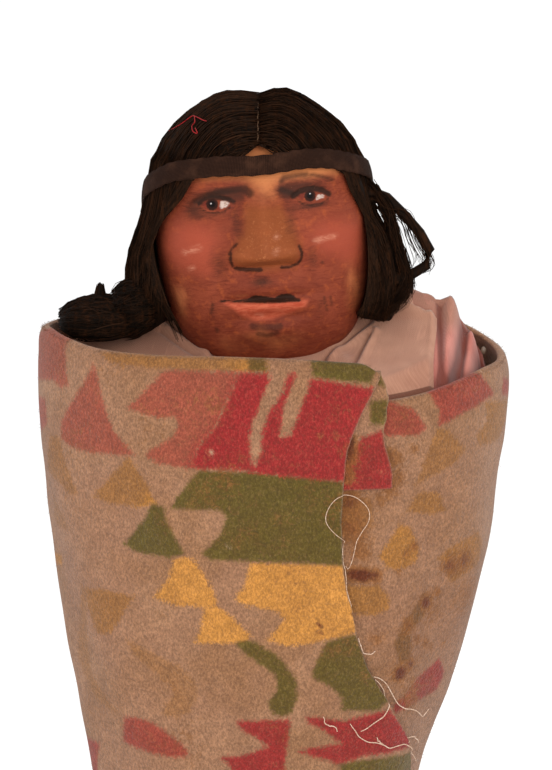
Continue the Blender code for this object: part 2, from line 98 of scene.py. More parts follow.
# The blanket's woven areas: colour, how fresh it is, corners as (place round the front, height)
FRONT_AREAS = (
    ("red", 0.12, ((-90, 233), (-84, 235), (-70.5, 238), (-59, 237), (-62.5, 232.5), (-64, 226), (-63.5, 222.5),
        (-67, 221.5), (-70, 223.5), (-92, 221.5))),
    ("red", 0.1, ((-92, 217), (-75.5, 217.5), (-75, 210.5), (-80, 208), (-92, 206.5))),
    ("red", 0.15, ((-52.5, 229.5), (-50.5, 219.5), (-47, 211), (-40, 204), (-55, 204), (-63, 205), (-67, 207),
        (-66.5, 212), (-62.5, 217.5), (-58, 222.5))),
    ("red", 0.12, ((-31.5, 228), (-29.5, 228.5), (-10, 228.5), (-16.5, 213.5), (-22, 206.5), (-23.5, 201),
        (-32.5, 202), (-36.5, 204), (-36.5, 205), (-28.5, 210), (-27.5, 213.5), (-28.5, 215.5),
        (-33.5, 215), (-42.5, 217.5))),
    ("red", 1.0, ((-10, 228.5), (-0.5, 228), (-6, 214.5), (-7, 210), (-6, 200.5), (-23.5, 201), (-22, 206.5),
        (-16.5, 213.5))),
    ("red", 1.0, ((4.5, 228), (6.5, 228), (2.5, 218.5), (1.5, 210), (4.5, 210.5), (10.5, 226.5), (28.5, 223.5),
        (22.5, 211), (21.5, 205.5), (21, 197), (-6.5, 200), (-3.5, 205.5), (-3.5, 211.5), (-1.5, 217),
        (1.5, 221.5))),
    ("yellow", 0.2, ((-49.5, 233), (-0.5, 232.5), (-1.5, 228.5), (-20.5, 228.5), (-47, 230))),
    ("green", 0.5, ((-6.5, 232.5), (-0.5, 232.5), (-1.5, 228.5), (-6.5, 228.5))),
    ("green", 1.0, ((11.5, 233), (31.5, 233), (27.5, 225), (18, 226), (11, 227))),
    ("green", 1.0, ((-21, 200.5), (-3, 200), (21, 197.5), (21, 173), (-18.5, 175), (-20, 176.5), (-15, 182),
        (-13, 187), (-14.5, 189), (-29.5, 189.5))),
    ("green", 1.0, ((-34.5, 190.5), (-31, 189.5), (-30.5, 186), (-25, 176), (-30, 175), (-40, 176), (-44.5, 178),
        (-37, 186))),
    ("green", 1.0, ((-9.5, 150.5), (-5, 151.5), (3, 146.5), (5.5, 143.5), (9, 139), (9, 133.5), (8, 129.5),
        (4.5, 128.5), (2, 129.5), (1, 133), (3, 137), (2.5, 141), (-7, 147.5))),
    ("green", 1.0, ((16.5, 150.5), (25, 152.5), (37, 132.5), (33.5, 129), (22, 130), (22.5, 133.5), (17.5, 138),
        (13.5, 139.5), (13, 141.5))),
    ("green", 0.8, ((23.5, 113.5), (33, 114.5), (51, 114), (70, 98), (66, 92), (36, 93), (28, 101))),
    ("yellow", 1.0, ((-28, 174.5), (-25, 175.5), (-22, 174.5), (-16, 164.5), (-15.5, 161), (-27, 161), (-34.5, 163),
        (-30.5, 167.5))),
    ("yellow", 1.0, ((-19, 160.5), (-15, 161.5), (-5, 152.5), (-6.5, 150.5), (-22, 150), (-20, 153))),
    ("yellow", 1.0, ((-6, 174), (21, 173), (24, 160), (26, 153), (11, 150), (5, 149.5), (-0.5, 151.5), (4, 157),
        (3, 159.5), (-8.5, 162), (-10.5, 163.5), (-8, 166.5))),
    ("yellow", 0.2, ((-42, 203.5), (-37.5, 198), (-33, 190.5), (-39.5, 189), (-49, 190), (-54.5, 191))),
    ("yellow", 0.1, ((-72.5, 207.5), (-67.5, 207), (-66, 202.5), (-59.5, 191.5), (-63.5, 191), (-68.5, 194),
        (-76.5, 197))),
    ("yellow", 0.0, ((-74.5, 189.5), (-70.5, 187), (-63.5, 180), (-69.5, 180), (-76.5, 181.5))),
    ("yellow", 0.5, ((-84.5, 171), (-72.5, 171), (-73.5, 168), (-84, 167.5))),
    ("yellow", 0.2, ((-58.5, 163.5), (-51, 164), (-40, 163), (-42.5, 159.5), (-47, 151), (-52.5, 150.5),
        (-57.5, 159))),
    ("yellow", 0.0, ((-60, 165), (-57.5, 160), (-58, 144.5), (-57, 137), (-43.5, 126.5), (-54.5, 130), (-64.5, 140),
        (-64.5, 145), (-62.5, 151.5))),
    ("yellow", 0.0, ((-42, 150), (-26, 143), (-21, 139.5), (-19.5, 135), (-21.5, 129.5), (-25, 127.5), (-30, 128),
        (-26.5, 135.5), (-39.5, 146))),
    ("red", 0.45, ((-41.5, 126.5), (-35.5, 126.5), (-30.5, 125), (-21.5, 118.5), (-20.5, 116), (-24.5, 115.5),
        (-37, 117.5), (-42, 119))),
    ("red", 0.5, ((-70, 116.5), (-52, 116.5), (-53.5, 111.5), (-53.5, 104.5), (-66, 101.5))),
    ("red", 1.0, ((-7.5, 127), (8, 128), (7, 104), (-3, 103), (-8.5, 114), (-11.5, 116), (-5.5, 116.5), (2.5, 119.5),
        (-1, 122), (-6.5, 125))),
    ("red", 1.0, ((12, 128.5), (24, 126.5), (37, 129), (50, 116), (30.5, 115.5), (24, 113.5), (11, 118), (14, 119),
        (24, 119.5), (18, 124), (13, 126.5))),
    ("green", 0.7, ((-16, 98), (14, 99), (20, 92), (8, 84), (-12, 85), (-24, 91))),
    ("yellow", 0.5, ((-40, 99), (-28, 86), (-52, 86))),
    ("yellow", 0.7, ((22, 88), (48, 88), (40, 80), (14, 80))),
)
UNDER_AREAS = (
    ("red", 0.4, ((20, 219.5), (33, 219.5), (40, 217), (44, 211.5), (42, 209.5), (34, 209.5), (20, 211.5))),
    ("red", 0.45, ((45, 221.5), (47, 223.5), (59, 227.5), (64.5, 225.5), (71.5, 219), (57.5, 215), (48, 211.5),
        (48.5, 216))),
    ("red", 0.45, ((78, 223), (92, 221), (92, 216), (76.5, 218.5))),
    ("yellow", 0.14, ((47.5, 211), (52, 210), (59, 204), (53.5, 200), (42, 195))),
    ("yellow", 0.24, ((67, 217), (84.5, 216), (84, 209.5), (76.5, 204.5), (65, 205), (63.5, 208), (68.5, 211.5))),
    ("yellow", 0.22, ((43, 192.5), (50, 192.5), (52.5, 187), (48.5, 186), (39, 187.5))),
    ("yellow", 0.1, ((16, 193.5), (20.5, 193), (28, 191), (27.5, 184), (22, 182), (16, 183.5))),
    ("yellow", 0.42, ((36.5, 184), (40.5, 182), (43.5, 176), (42.5, 172.5), (37, 170.5), (32.5, 171.5), (30, 175))),
    ("yellow", 0.3, ((67, 179), (70.5, 175), (69, 169.5), (57, 165), (55, 165.5), (55, 170.5), (50, 172.5),
        (54, 175.5))),
    ("yellow", 0.28, ((14, 166.5), (30, 166.5), (34, 163), (33.5, 159), (29.5, 157.5), (16, 159))),
    ("green", 0.1, ((46.5, 163.5), (49.5, 160.5), (46, 155.5), (42, 152), (43, 145.5), (42, 141), (38.5, 143),
        (36.5, 148.5), (38.5, 153.5))),
    ("red", 1.0, ((56.5, 141.5), (61, 136), (58.5, 131.5), (39.5, 127), (38.5, 129.5), (42.5, 132), (47.5, 137))),
)
# Across the back, the same on both sides of its middle: place from the middle of the back, height
BACK_AREAS = (
    ("red", 0.75, ((-1, 201), (9, 201), (15, 229), (-1, 229))),
    ("red", 0.7, ((15, 201), (37, 201), (29, 208), (46, 215), (32, 229), (21, 229))),
    ("red", 0.3, ((67, 229), (52, 205), (80, 206))),
    ("green", 0.9, ((-1, 174), (40, 174), (33, 184), (52, 189), (44, 198), (-1, 198))),
    ("green", 0.9, ((66, 192), (56, 177), (77, 177))),
    ("yellow", 0.8, ((-1, 151), (16, 151), (24, 160), (14, 165), (30, 173), (-1, 173))),
    ("yellow", 0.8, ((46, 174), (36, 162), (58, 162))),
    ("yellow", 0.7, ((38, 160), (29, 151), (50, 151))),
    ("green", 0.9, ((8, 150), (17, 149), (31, 140), (31, 129), (23, 128), (22, 137), (8, 144))),
    ("yellow", 0.1, ((66, 163), (54, 150), (77, 152))),
    ("red", 0.8, ((-1, 127), (19, 127), (10, 121), (26, 116), (14, 106), (-1, 104))),
    ("red", 0.5, ((40, 127), (34, 118), (58, 115), (50, 125))),
    ("green", 0.7, ((-1, 84), (30, 84), (24, 91), (38, 95), (30, 101), (-1, 101))),
)
# The second layer's areas, its free edge as height and place
PLY_AREAS = (
    ("green", 1.0, ((28.5, 228), (31, 228), (32, 224), (27.5, 225))),
    ("green", 1.0, ((27.5, 220), (34, 220), (34.5, 213), (28, 213))),
    ("red", 1.0, ((31.5, 211.5), (35.5, 204.5), (38, 195), (38, 190.5), (14, 190.5), (17, 200.5), (25.5, 209.5))),
)
PLY_EDGE = (
    (190, 34.6), (194.7, 34.7), (198.7, 34.5), (203.1, 33.2), (208, 31.6), (212.8, 31.5), (219.3, 32.4), (223, 32),
    (227.2, 30.8), (230.2, 30.2),
)
# Stains on the panel under the lap and on the outer panel: place, height, size, strength. Flecks have no strength
STAINS = (
    (23.7, 169.8, 2.0, 0.9), (27, 169.4, 2.0, 1.2), (30.8, 169.2, 2.2, 0.7), (40.7, 175.1, 1.4, 0.4),
    (38.4, 170, 1.2, 0.3), (57, 170, 3.0, 0.6), (62.8, 171.2, 2.8, 0.6), (46.5, 149.2, 1.4, 0.5),
    (50.5, 147.6, 1.6, 0.45), (43.5, 177.2, 1.5, 0.6), (48.7, 160, 2.2, 0.75), (53.0, 162.8, 1.5, 0.5),
    (42.5, 153.5, 2.8, 0.5), (41.4, 139.3, 2.3, 0.95), (45.2, 141.6, 1.6, 0.6),
    (53.5, 145.9, 1.6, 0.3), (22.7, 191.9, 3.5, 0.45), (23.5, 183.2, 4.5, 0.45), (33.4, 204.5, 2.2, 0.3),
    (38.2, 197.7, 1.8, 0.3), (42.5, 205.5, 1.2, 0.3), (32.7, 191.6, 3.0, 0.2), (58.2, 146.1, 1.6, 0.3),
    (32.3, 150.4, 3.0, 0.3), (26, 176, 3.5, 0.35), (36, 203, 3.0, 0.35), (36, 195, 3.5, 0.4), (66, 160, 6.0, 0.3),
    (52, 155, 5.0, 0.3), (47, 132, 5.0, 0.3),
)
OUTER_STAINS = ((14.0, 155.3, 0.55, 1.3), (14.5, 153.0, 0.5, 1.2), (20.6, 206, 3.0, 0.25), (23.7, 158.3, 0.5, 1.0))
FLECKS = ((-55.2, 209.6, 0.5), (-17.4, 205.5, 0.8), (-12.7, 179.1, 0.6))
# Loose yarns, as places and heights
YARNS = {
    "loop": ((20.9, 179.8), (17.7, 182.2), (14.9, 186), (15.8, 189.8), (17.6, 192.1), (20.1, 193.2), (22.7, 193.1),
        (25, 192.2), (27.4, 189.8), (28.2, 187.7), (27.9, 185.1), (25.8, 182), (24.3, 179.7), (23.8, 176.8),
        (23.3, 173.9), (22.2, 171.6), (21.3, 172.5)),
    "down": ((20.9, 179.8), (20, 178.1), (20.1, 175.5), (20.7, 172.8), (21.4, 170.7), (21.5, 166.9), (21.9, 164),
        (22.9, 161)),
    "short": ((25.6, 151.4), (26.6, 149.6), (27.3, 147.7), (28.6, 146.5), (30.5, 146.1), (31.9, 146.9)),
    "long": ((32, 139.1), (33.9, 138.6), (36, 136.9), (37.5, 135), (39.4, 132.4), (41.9, 129.6), (43.9, 128.4),
        (46.4, 127.8), (48.6, 127.1), (50.7, 125.9), (53.2, 124.5), (54.8, 125.7), (55.6, 126.5)),
    "back": ((32.4, 138.4), (34.4, 136.5), (36, 133.6), (36.6, 130.8), (35.7, 128.2), (33.7, 126.2), (31.1, 124.6),
        (28.5, 123.3)),
    "low": ((25.1, 125.9), (26.9, 123.7), (28.4, 121.5), (31.1, 120), (34.1, 119.4), (36.5, 118.3), (38.4, 117.1),
        (40.9, 117.4), (44.3, 117.5), (47.6, 115.7), (49.9, 114.1), (52.9, 111.9), (56.3, 109.3)),
    "tip": ((17.1, 128.4), (17.6, 126.6), (18.9, 125.6), (20.4, 125.3), (21.8, 123.7)),
    "knot": ((33.8, 121), (34.7, 119.7), (36.2, 118.6)),
    "end": ((45.4, 118), (47.4, 118.6), (49.7, 118.8), (52, 117.8), (54.4, 116)),
}


def smooth(t):
    t = np.clip(t, 0.0, 1.0)
    return t * t * (3 - 2 * t)


def through(stations, at, column=1):
    """Values at places, on the same smooth curve through stations as the solids use."""
    s = np.asarray(stations, float)
    x, y = s[:, 0], s[:, column]
    at = np.asarray(at, float)
    i = np.clip(np.searchsorted(x, at, side="right") - 1, 0, len(x) - 2)
    before, after = np.maximum(i - 1, 0), np.minimum(i + 2, len(x) - 1)
    span = x[i + 1] - x[i]
    t = np.clip((at - x[i]) / span, 0, 1)
    leaving = (y[i + 1] - y[before]) / (x[i + 1] - x[before]) * span
    arriving = (y[after] - y[i]) / (x[after] - x[i]) * span
    return (
        (2 * t**3 - 3 * t**2 + 1) * y[i] + (t**3 - 2 * t**2 + t) * leaving
        + (3 * t**2 - 2 * t**3) * y[i + 1] + (t**3 - t**2) * arriving
    )


def power(value, exponent):
    return np.sign(value) * np.abs(value) ** exponent


def hill(x, z, at_x, at_z, wide, tall):
    return np.exp(-(((x - at_x) / wide) ** 2) - ((z - at_z) / tall) ** 2)


def bell(value, half):
    return np.exp(-((value / half) ** 2))


def outline_point(angle, height, inset):
    half_width = through(OUTLINE, height, 2) - inset
    half_depth = through(OUTLINE, height, 3) - inset
    x = half_width * power(np.sin(angle), 2 / OUTLINE_POWER) + through(OUTLINE, height, 1)
    return x, -half_depth * power(np.cos(angle), 2 / OUTLINE_POWER)


def arc_table():
    """Lengths round the outline from its front, at 361 turns and 96 heights."""
    angles, heights = np.linspace(0, math.pi, 361), np.linspace(60, 250, 96)
    x, y = outline_point(angles[None, :], heights[:, None], 0.0)
    steps = np.hypot(np.diff(x, axis=1), np.diff(y, axis=1))
    return np.concatenate([np.zeros((96, 1)), np.cumsum(steps, axis=1)], axis=1)


ARC = arc_table()


def arc(angle, height):
    """Length round the outline from the front's middle, negative to the left, and the whole half length."""
    angle = (angle + math.pi) % (2 * math.pi) - math.pi
    a = np.clip(np.abs(angle) / math.pi * 360, 0, 359.999)
    h = np.clip((height - 60) / 2.0, 0, 94.999)
    i, j = a.astype(int), h.astype(int)
    p, q = a - i, h - j
    lower = ARC[j, i] * (1 - p) + ARC[j, i + 1] * p
    upper = ARC[j + 1, i] * (1 - p) + ARC[j + 1, i + 1] * p
    length = lower * (1 - q) + upper * q
    whole = ARC[j, 360] * (1 - q) + ARC[j + 1, 360] * q
    return np.sign(angle) * length, whole


def angle_at(length, height):
    """The turn at which the outline has this length from its front."""
    angle = np.asarray(length, float) / OUTLINE_RADIUS
    for _ in range(12):
        here, _ = arc(angle, height)
        angle = angle + (length - here) / OUTLINE_RADIUS
    return angle


def outward(angle):
    return np.stack([np.sin(angle), -np.cos(angle), 0 * angle], -1)


def shoulder_height(x, y):
    forward = np.clip((12.0 - y) / 45.0, 0, 1)
    chest = 25.0 * (1 - (1 - forward) ** 1.5) * smooth(forward / 0.3)
    back = 5.0 * (np.maximum(0.0, y - 8.0) / 30.0) ** 2
    gathers = 0.7 * hill(x, y, 52.0, 0.0, 7.0, 16.0) * np.cos((x - 53.0) * 0.9 + y * 0.1)
    return through(SHOULDER_LINE, x) - chest - back + gathers


def ripples(points, size, seed=0.0):
    """Even noise from -1 to 1 at places, with features of about this size in mm."""
    flat = np.asarray(points, float).reshape(-1, 3) / size + seed
    return np.array([noise.noise(Vector(p)) for p in flat]).reshape(np.shape(points)[:-1])


def billows(angle, height):
    """How far the wool stands out and in round the outline."""
    around = np.stack([np.sin(angle) * 60, np.cos(angle) * 40, height], -1)
    return 0.55 * ripples(around, 30.0, 1.7) + 0.30 * ripples(around, 12.0, 5.1)


def wrap_swell(angle, height):
    """The same for the whole wrap, with a lower hem that swings out and in."""
    waves = 0.8 * np.sin(7 * angle + 0.6) * smooth((100 - height) / 30)
    return billows(angle, height) * smooth((HEM + 190 - height) / 60) + waves


def inside_depth(u, z, corners):
    """How far places are inside a closed outline of corners. Negative is outside."""
    inside = np.zeros(np.shape(u), bool)
    nearest = np.full(np.shape(u), 1e9)
    for (x0, y0), (x1, y1) in zip(corners, corners[1:] + corners[:1]):
        ex, ey = x1 - x0, y1 - y0
        t = np.clip(((u - x0) * ex + (z - y0) * ey) / max(ex * ex + ey * ey, 1e-9), 0, 1)
        nearest = np.minimum(nearest, np.hypot(u - x0 - t * ex, z - y0 - t * ey))
        if y0 != y1:
            inside ^= ((y0 > z) != (y1 > z)) & (u < x0 + (z - y0) * ex / ey)
    return np.where(inside, nearest, -nearest)


def stroke_depth(x, z, path, half):
    """How far places are inside a brush stroke along a path."""
    nearest = np.full(np.shape(x), 1e9)
    for (x0, y0), (x1, y1) in zip(path, path[1:]):
        ex, ey = x1 - x0, y1 - y0
        t = np.clip(((x - x0) * ex + (z - y0) * ey) / (ex * ex + ey * ey), 0, 1)
        nearest = np.minimum(nearest, np.hypot(x - x0 - t * ex, z - y0 - t * ey))
    return half - nearest


def hills(x, z, places):
    """Hills as strength, place, height, half width and half height, added up."""
    return sum(strength * hill(x, z, *shape) for strength, *shape in places)


def woven(u, z, areas):
    """Depths inside the areas of each colour, and how fresh the colour is."""
    fields = {name: np.full(u.shape, -9.0) for name in ("red", "green", "yellow")}
    weight, total = np.full(u.shape, 1e-6), np.full(u.shape, 5e-7)
    for colour, fresh, corners in areas:
        depth = inside_depth(u, z, corners)
        fields[colour] = np.maximum(fields[colour], depth)
        share = 1 / (1 + np.exp(-np.clip(depth / 1.3, -20, 20)))
        weight, total = weight + share, total + share * fresh
    fields["fresh"] = total / weight
    return fields


def spots(u, z, places):
    return sum(strength * np.exp(-(((u - x) ** 2 + (z - y) ** 2) / size**2)) for x, y, size, strength in places)


# Meshes
def show(name, data):
    made = bpy.data.objects.new(name, data)
    bpy.context.scene.collection.objects.link(made)
    return made


def put(name, points, faces, recipe, fields=None):
    data = bpy.data.meshes.new(name)
    data.from_pydata((np.asarray(points) * MM).tolist(), [], [tuple(f) for f in faces])
    for key, values in (fields or {}).items():
        values = np.asarray(values, np.float32)
        vector = values.ndim == 2
        made = data.attributes.new(key, "FLOAT_VECTOR" if vector else "FLOAT", "POINT")
        made.data.foreach_set("vector" if vector else "value", values.ravel())
    turned = bmesh.new()
    turned.from_mesh(data)
    bmesh.ops.recalc_face_normals(turned, faces=turned.faces)
    turned.to_mesh(data)
    turned.free()
    data.shade_smooth()
    data.materials.append(recipe.material)
    return show(name, data)


def skin(name, grid, recipe, around=True, along=False, fields=None, ends=None):
    """A closed mesh over a grid of points: around joins each row's ends, along joins the last row to the first."""
    rows, columns = grid.shape[:2]
    index = np.arange(rows * columns).reshape(rows, columns)
    r = np.arange(rows if along else rows - 1)
    c = np.arange(columns if around else columns - 1)
    r, c = [a.ravel() for a in np.meshgrid(r, c, indexing="ij")]
    r2, c2 = (r + 1) % rows, (c + 1) % columns
    faces = np.stack([index[r, c], index[r, c2], index[r2, c2], index[r2, c]], 1).tolist()
    if not along:
        faces += [index[0].tolist(), index[-1].tolist()]
    if not around:
        for face in ends or [list(range(rows))]:
            faces += [index[face, 0].tolist(), index[face, -1].tolist()]
    flat = {k: np.reshape(v, (rows * columns, -1)) if np.ndim(v) == 3 else np.ravel(v)
            for k, v in (fields or {}).items()}
    return put(name, grid.reshape(-1, 3), faces, recipe, flat)


def tubes(name, paths, radii, recipe, sides=3, fields=None):
    """Closed tubes along paths (count, steps, 3) with radii (count, steps)."""
    paths, radii = np.asarray(paths, float), np.asarray(radii, float)
    count, steps = paths.shape[:2]
    along = np.gradient(paths, axis=1)
    along /= np.maximum(np.linalg.norm(along, axis=2, keepdims=True), 1e-9)
    side = np.cross(along, np.array([0.31, 0.52, 0.79]))
    side /= np.maximum(np.linalg.norm(side, axis=2, keepdims=True), 1e-9)
    other = np.cross(along, side)
    turns = np.arange(sides) * 2 * math.pi / sides
    turns = turns[None, None, :, None]
    ring = side[:, :, None] * np.cos(turns) + other[:, :, None] * np.sin(turns)
    points = paths[:, :, None] + ring * radii[:, :, None, None]
    index = np.arange(count * steps * sides).reshape(count, steps, sides)
    a, b = index[:, :-1], index[:, 1:]
    quads = np.stack([a, np.roll(a, -1, 2), np.roll(b, -1, 2), b], -1).reshape(-1, 4).tolist()
    ends = index[:, 0, ::-1].tolist() + index[:, -1].tolist()
    flat = {k: np.repeat(np.asarray(v).reshape(count, steps), sides, axis=1).ravel()
            for k, v in (fields or {}).items()}
    return put(name, points.reshape(-1, 3), quads + ends, recipe, flat)


def along_path(path, steps):
    """Even steps along a smooth line through points."""
    path = np.asarray(path, float)
    reach = np.concatenate([[0], np.cumsum(np.linalg.norm(np.diff(path, axis=0), axis=1))])
    table = np.column_stack([reach, path])
    at = np.linspace(0, reach[-1], steps)
    return np.stack([through(table, at, i + 1) for i in range(path.shape[1])], 1)


# Materials
def paint(red, green, blue):
    """A colour as seen, from 0 to 255, as the renderer's own values."""
    return tuple((v / 255 / 12.92) if v <= 10 else ((v / 255 + 0.055) / 1.055) ** 2.4 for v in (red, green, blue))


class Recipe:
    """A material built up from nodes."""

    def __init__(self, name, **sockets):
        self.material = bpy.data.materials.new(name)
        self.material.use_nodes = True
        self.nodes, self.links = self.material.node_tree.nodes, self.material.node_tree.links
        self.shader = self.nodes["Principled BSDF"]
        for socket, value in sockets.items():
            self.feed(self.shader.inputs[socket.replace("_", " ")], value)

    def feed(self, socket, value):
        if isinstance(value, bpy.types.NodeSocket):
            self.links.new(value, socket)
        elif isinstance(value, tuple) and socket.type == "RGBA":
            socket.default_value = (*value, 1)
        else:
            socket.default_value = value

    def add(self, kind, inputs=(), **settings):
        made = self.nodes.new(kind)
        for key, value in settings.items():
            setattr(made, key, value)
        for key, value in dict(inputs).items():
            self.feed(made.inputs[key], value)
        return made

    def math(self, operation, *values):
        made = self.add("ShaderNodeMath", operation=operation)
        for socket, value in zip(made.inputs, values):
            self.feed(socket, value)
        return made.outputs[0]

    def plus(self, a, b):
        return self.math("ADD", a, b)

    def times(self, a, b):
        return self.math("MULTIPLY", a, b)

    def sway(self, value, size):
        """A noise's distance from its middle."""
        return self.times(self.math("SUBTRACT", value, 0.5), size)

    def place(self):
        return self.add("ShaderNodeTexCoord").outputs["Object"]

    def field(self, name):
        return self.add("ShaderNodeAttribute", attribute_name=name).outputs["Fac"]

    def vector(self, name):
        return self.add("ShaderNodeAttribute", attribute_name=name).outputs["Vector"]

    def scaled(self, vector, x, y, z):
        return self.add("ShaderNodeMapping", {"Vector": vector, "Scale": (x, y, z)}).outputs[0]

    def noise(self, where, scale, detail=2.0, rough=0.5, distortion=0.0):
        return self.add("ShaderNodeTexNoise", {
            "Vector": where, "Scale": scale, "Detail": detail, "Roughness": rough, "Distortion": distortion,
        }).outputs["Fac"]

    def bands(self, run, scale, distortion, detail_scale, along):
        return self.add("ShaderNodeTexWave", {
            "Vector": run, "Scale": scale, "Distortion": distortion, "Detail": 2.0, "Detail Scale": detail_scale,
        }, wave_type="BANDS", bands_direction=along).outputs["Fac"]

    def spread(self, value, low, high, out_low=0.0, out_high=1.0):
        return self.add("ShaderNodeMapRange", {
            "Value": value, "From Min": low, "From Max": high, "To Min": out_low, "To Max": out_high,
        }, interpolation_type="SMOOTHSTEP").outputs[0]

    def mix(self, share, a, b, how="MIX"):
        made = self.add("ShaderNodeMix", data_type="RGBA", blend_type=how)
        self.feed(made.inputs["Factor"], share)
        self.feed(made.inputs[6], a)
        self.feed(made.inputs[7], b)
        return made.outputs[2]

    def bump(self, height, distance, strength=1.0, onto=None):
        made = self.add("ShaderNodeBump", {"Height": height, "Distance": distance, "Strength": strength})
        if onto is not None:
            self.feed(made.inputs["Normal"], onto)
        return made.outputs[0]

    def finish(self, colour, normal=None, rough=None):
        self.feed(self.shader.inputs["Base Color"], colour)
        if normal is not None:
            self.feed(self.shader.inputs["Normal"], normal)
        if rough is not None:
            self.feed(self.shader.inputs["Roughness"], rough)
        return self


def wool_recipe(name):
    """Napped wool: tan ground with areas of red, green and yellow, fuzzy edges, fading, stains and pale flecks."""
    r = Recipe(name, Roughness=0.95, Sheen_Weight=0.15, Sheen_Roughness=0.5, Specular_IOR_Level=0.15)
    where = r.place()
    fibre = r.scaled(where, 1.0, 1.0, 0.62)
    fine = r.noise(fibre, 1900.0, 2.0, 0.7, 0.6)
    curl = r.noise(where, 620.0, 3.0, 0.65, 1.2)
    blot = r.noise(where, 60.0, 3.0, 0.6)
    wide = r.noise(where, 17.0, 2.0, 0.5)
    shift = r.plus(r.sway(curl, 3.4), r.sway(fine, 2.2))

    def area(colour, soft=0.8):
        return r.spread(r.plus(r.field(colour), shift), -soft, soft)

    fresh = r.field("fresh")
    patchy = r.noise(where, 42.0, 3.0, 0.55, 0.4)
    tan = r.mix(r.spread(blot, 0.35, 0.68), paint(162, 118, 88), paint(176, 132, 99))
    tan = r.mix(r.spread(patchy, 0.42, 0.62, 0.0, 0.55), tan, paint(143, 99, 62))
    tan = r.mix(r.spread(wide, 0.40, 0.62), tan, r.mix(0.5, tan, paint(161, 117, 91)))
    red = r.mix(r.spread(fresh, 0.12, 0.85), paint(156, 74, 56), paint(150, 17, 30))
    green = r.mix(r.spread(fresh, 0.15, 0.7), paint(110, 76, 34), paint(84, 75, 16))
    yellow = r.mix(r.spread(fresh, 0.12, 0.85), paint(150, 99, 44), paint(206, 141, 64))
    colour = r.mix(r.times(area("yellow"), r.spread(fresh, -0.4, 0.45)), tan, yellow)
    colour = r.mix(r.times(area("green"), 0.94), colour, green)
    colour = r.mix(r.times(area("red"), 0.94), colour, red)
    uneven = r.spread(r.plus(blot, r.times(curl, 0.5)), 0.5, 1.0, 0.35, 1.0)
    # Patchy darkening: partly soil, partly painted shade
    soil_and_shade = r.times(r.field("soil_and_shade"), uneven)
    colour = r.mix(r.times(soil_and_shade, 0.5), colour, r.mix(0.8, colour, paint(112, 68, 38)))
    stain = r.plus(r.field("stain"), r.times(r.math("SUBTRACT", r.plus(blot, curl), 1.0), 0.8))
    colour = r.mix(r.spread(stain, 0.04, 0.40, 0.0, 0.8), colour, paint(136, 84, 38))
    colour = r.mix(r.spread(stain, 0.34, 0.95), colour, paint(96, 42, 16))
    colour = r.mix(r.times(r.field("pale"), r.spread(curl, 0.38, 0.6)), colour, paint(184, 157, 127))
    colour = r.mix(r.times(r.field("edge"), 0.5), colour, paint(170, 133, 96))
    colour = r.mix(r.spread(fine, 0.32, 0.68, 0.62, 0.0), colour, r.mix(0.75, colour, paint(38, 22, 15)))
    colour = r.mix(r.spread(fine, 0.52, 0.80, 0.0, 0.16), colour, r.mix(0.5, colour, paint(216, 176, 140)))
    mottle = r.noise(where, 260.0, 3.0, 0.7)
    colour = r.mix(r.spread(mottle, 0.35, 0.70, 0.30, 0.0), colour, r.mix(0.6, colour, paint(60, 34, 20)))
    colour = r.mix(r.spread(curl, 0.50, 0.74, 0.0, 0.10), colour, r.mix(0.5, colour, paint(190, 152, 116)))
    tangle = r.plus(r.times(fine, 0.6), curl)
    normal = r.bump(tangle, 0.0007, 0.85)
    normal = r.bump(blot, 0.0012, 0.25, normal)
    return r.finish(colour, normal)


# The blanket
def wrap_fold(angle, height):
    return RIPPLE * np.sin(9 * angle + height / 17.0) * smooth((226.0 - height) / 50.0)


def lap_inset(travel):
    """How far the panel under the lap lies in."""
    return LAP_STEP * smooth((travel - 0.74) / 0.18)


def blanket_point(travel, height, inset):
    """A point of the wrap, travelling left from the lap's free edge, and its direction from the front."""
    turning = smooth((0.34 - travel) / 0.34) + smooth((travel - 0.74) / 0.26)
    straight = LAP_EDGE_AT_REST + turning * (through(LAP_EDGE, height) - LAP_EDGE_AT_REST)
    angle = np.radians(straight) - 2 * math.pi * travel
    x, y = outline_point(angle, height, inset - wrap_fold(angle, height))
    return x, y, angle


def blanket_fields(angle, height, travel):
    length, half = arc(angle, height)
    outer = travel < 0.5
    front = woven(length, height, FRONT_AREAS)
    under = woven(length - 1.8, height, UNDER_AREAS)
    behind = woven(half - np.abs(length), height, BACK_AREAS)
    at_back = smooth((np.abs(length) - 86.0) / 6.0)
    fields = {}
    for key in ("red", "green", "yellow"):
        near = np.where(outer, front[key], under[key])
        fields[key] = np.maximum(near - 12 * at_back, behind[key] - 12 * (1 - at_back))
    near = np.where(outer, front["fresh"], under["fresh"])
    fields["fresh"] = near * (1 - at_back) + behind["fresh"] * at_back
    fields["stain"] = np.where(outer, spots(length, height, OUTER_STAINS), 1.15 * spots(length, height, STAINS))
    # Soil and painted shade: darker low down, towards the top rim, under the lap and at the back
    low = smooth((205.0 - height) / 45.0)
    outer_soil_and_shade = 0.1 + 0.35 * low * smooth((length + 62) / 40) + 0.5 * smooth((height - 225.0) / 6.0)
    under_soil_and_shade = 0.45 + 0.85 * low * hill(length, height, 55.0, 150.0, 26.0, 45.0)
    fields["soil_and_shade"] = np.where(outer, outer_soil_and_shade, under_soil_and_shade) + 0.2 * at_back
    flecks = sum(np.exp(-((((length - x) ** 2 + (height - y) ** 2) / s**2) ** 2)) for x, y, s in FLECKS)
    fields["pale"] = np.where(outer, np.clip(flecks, 0, 1), 0)
    return fields


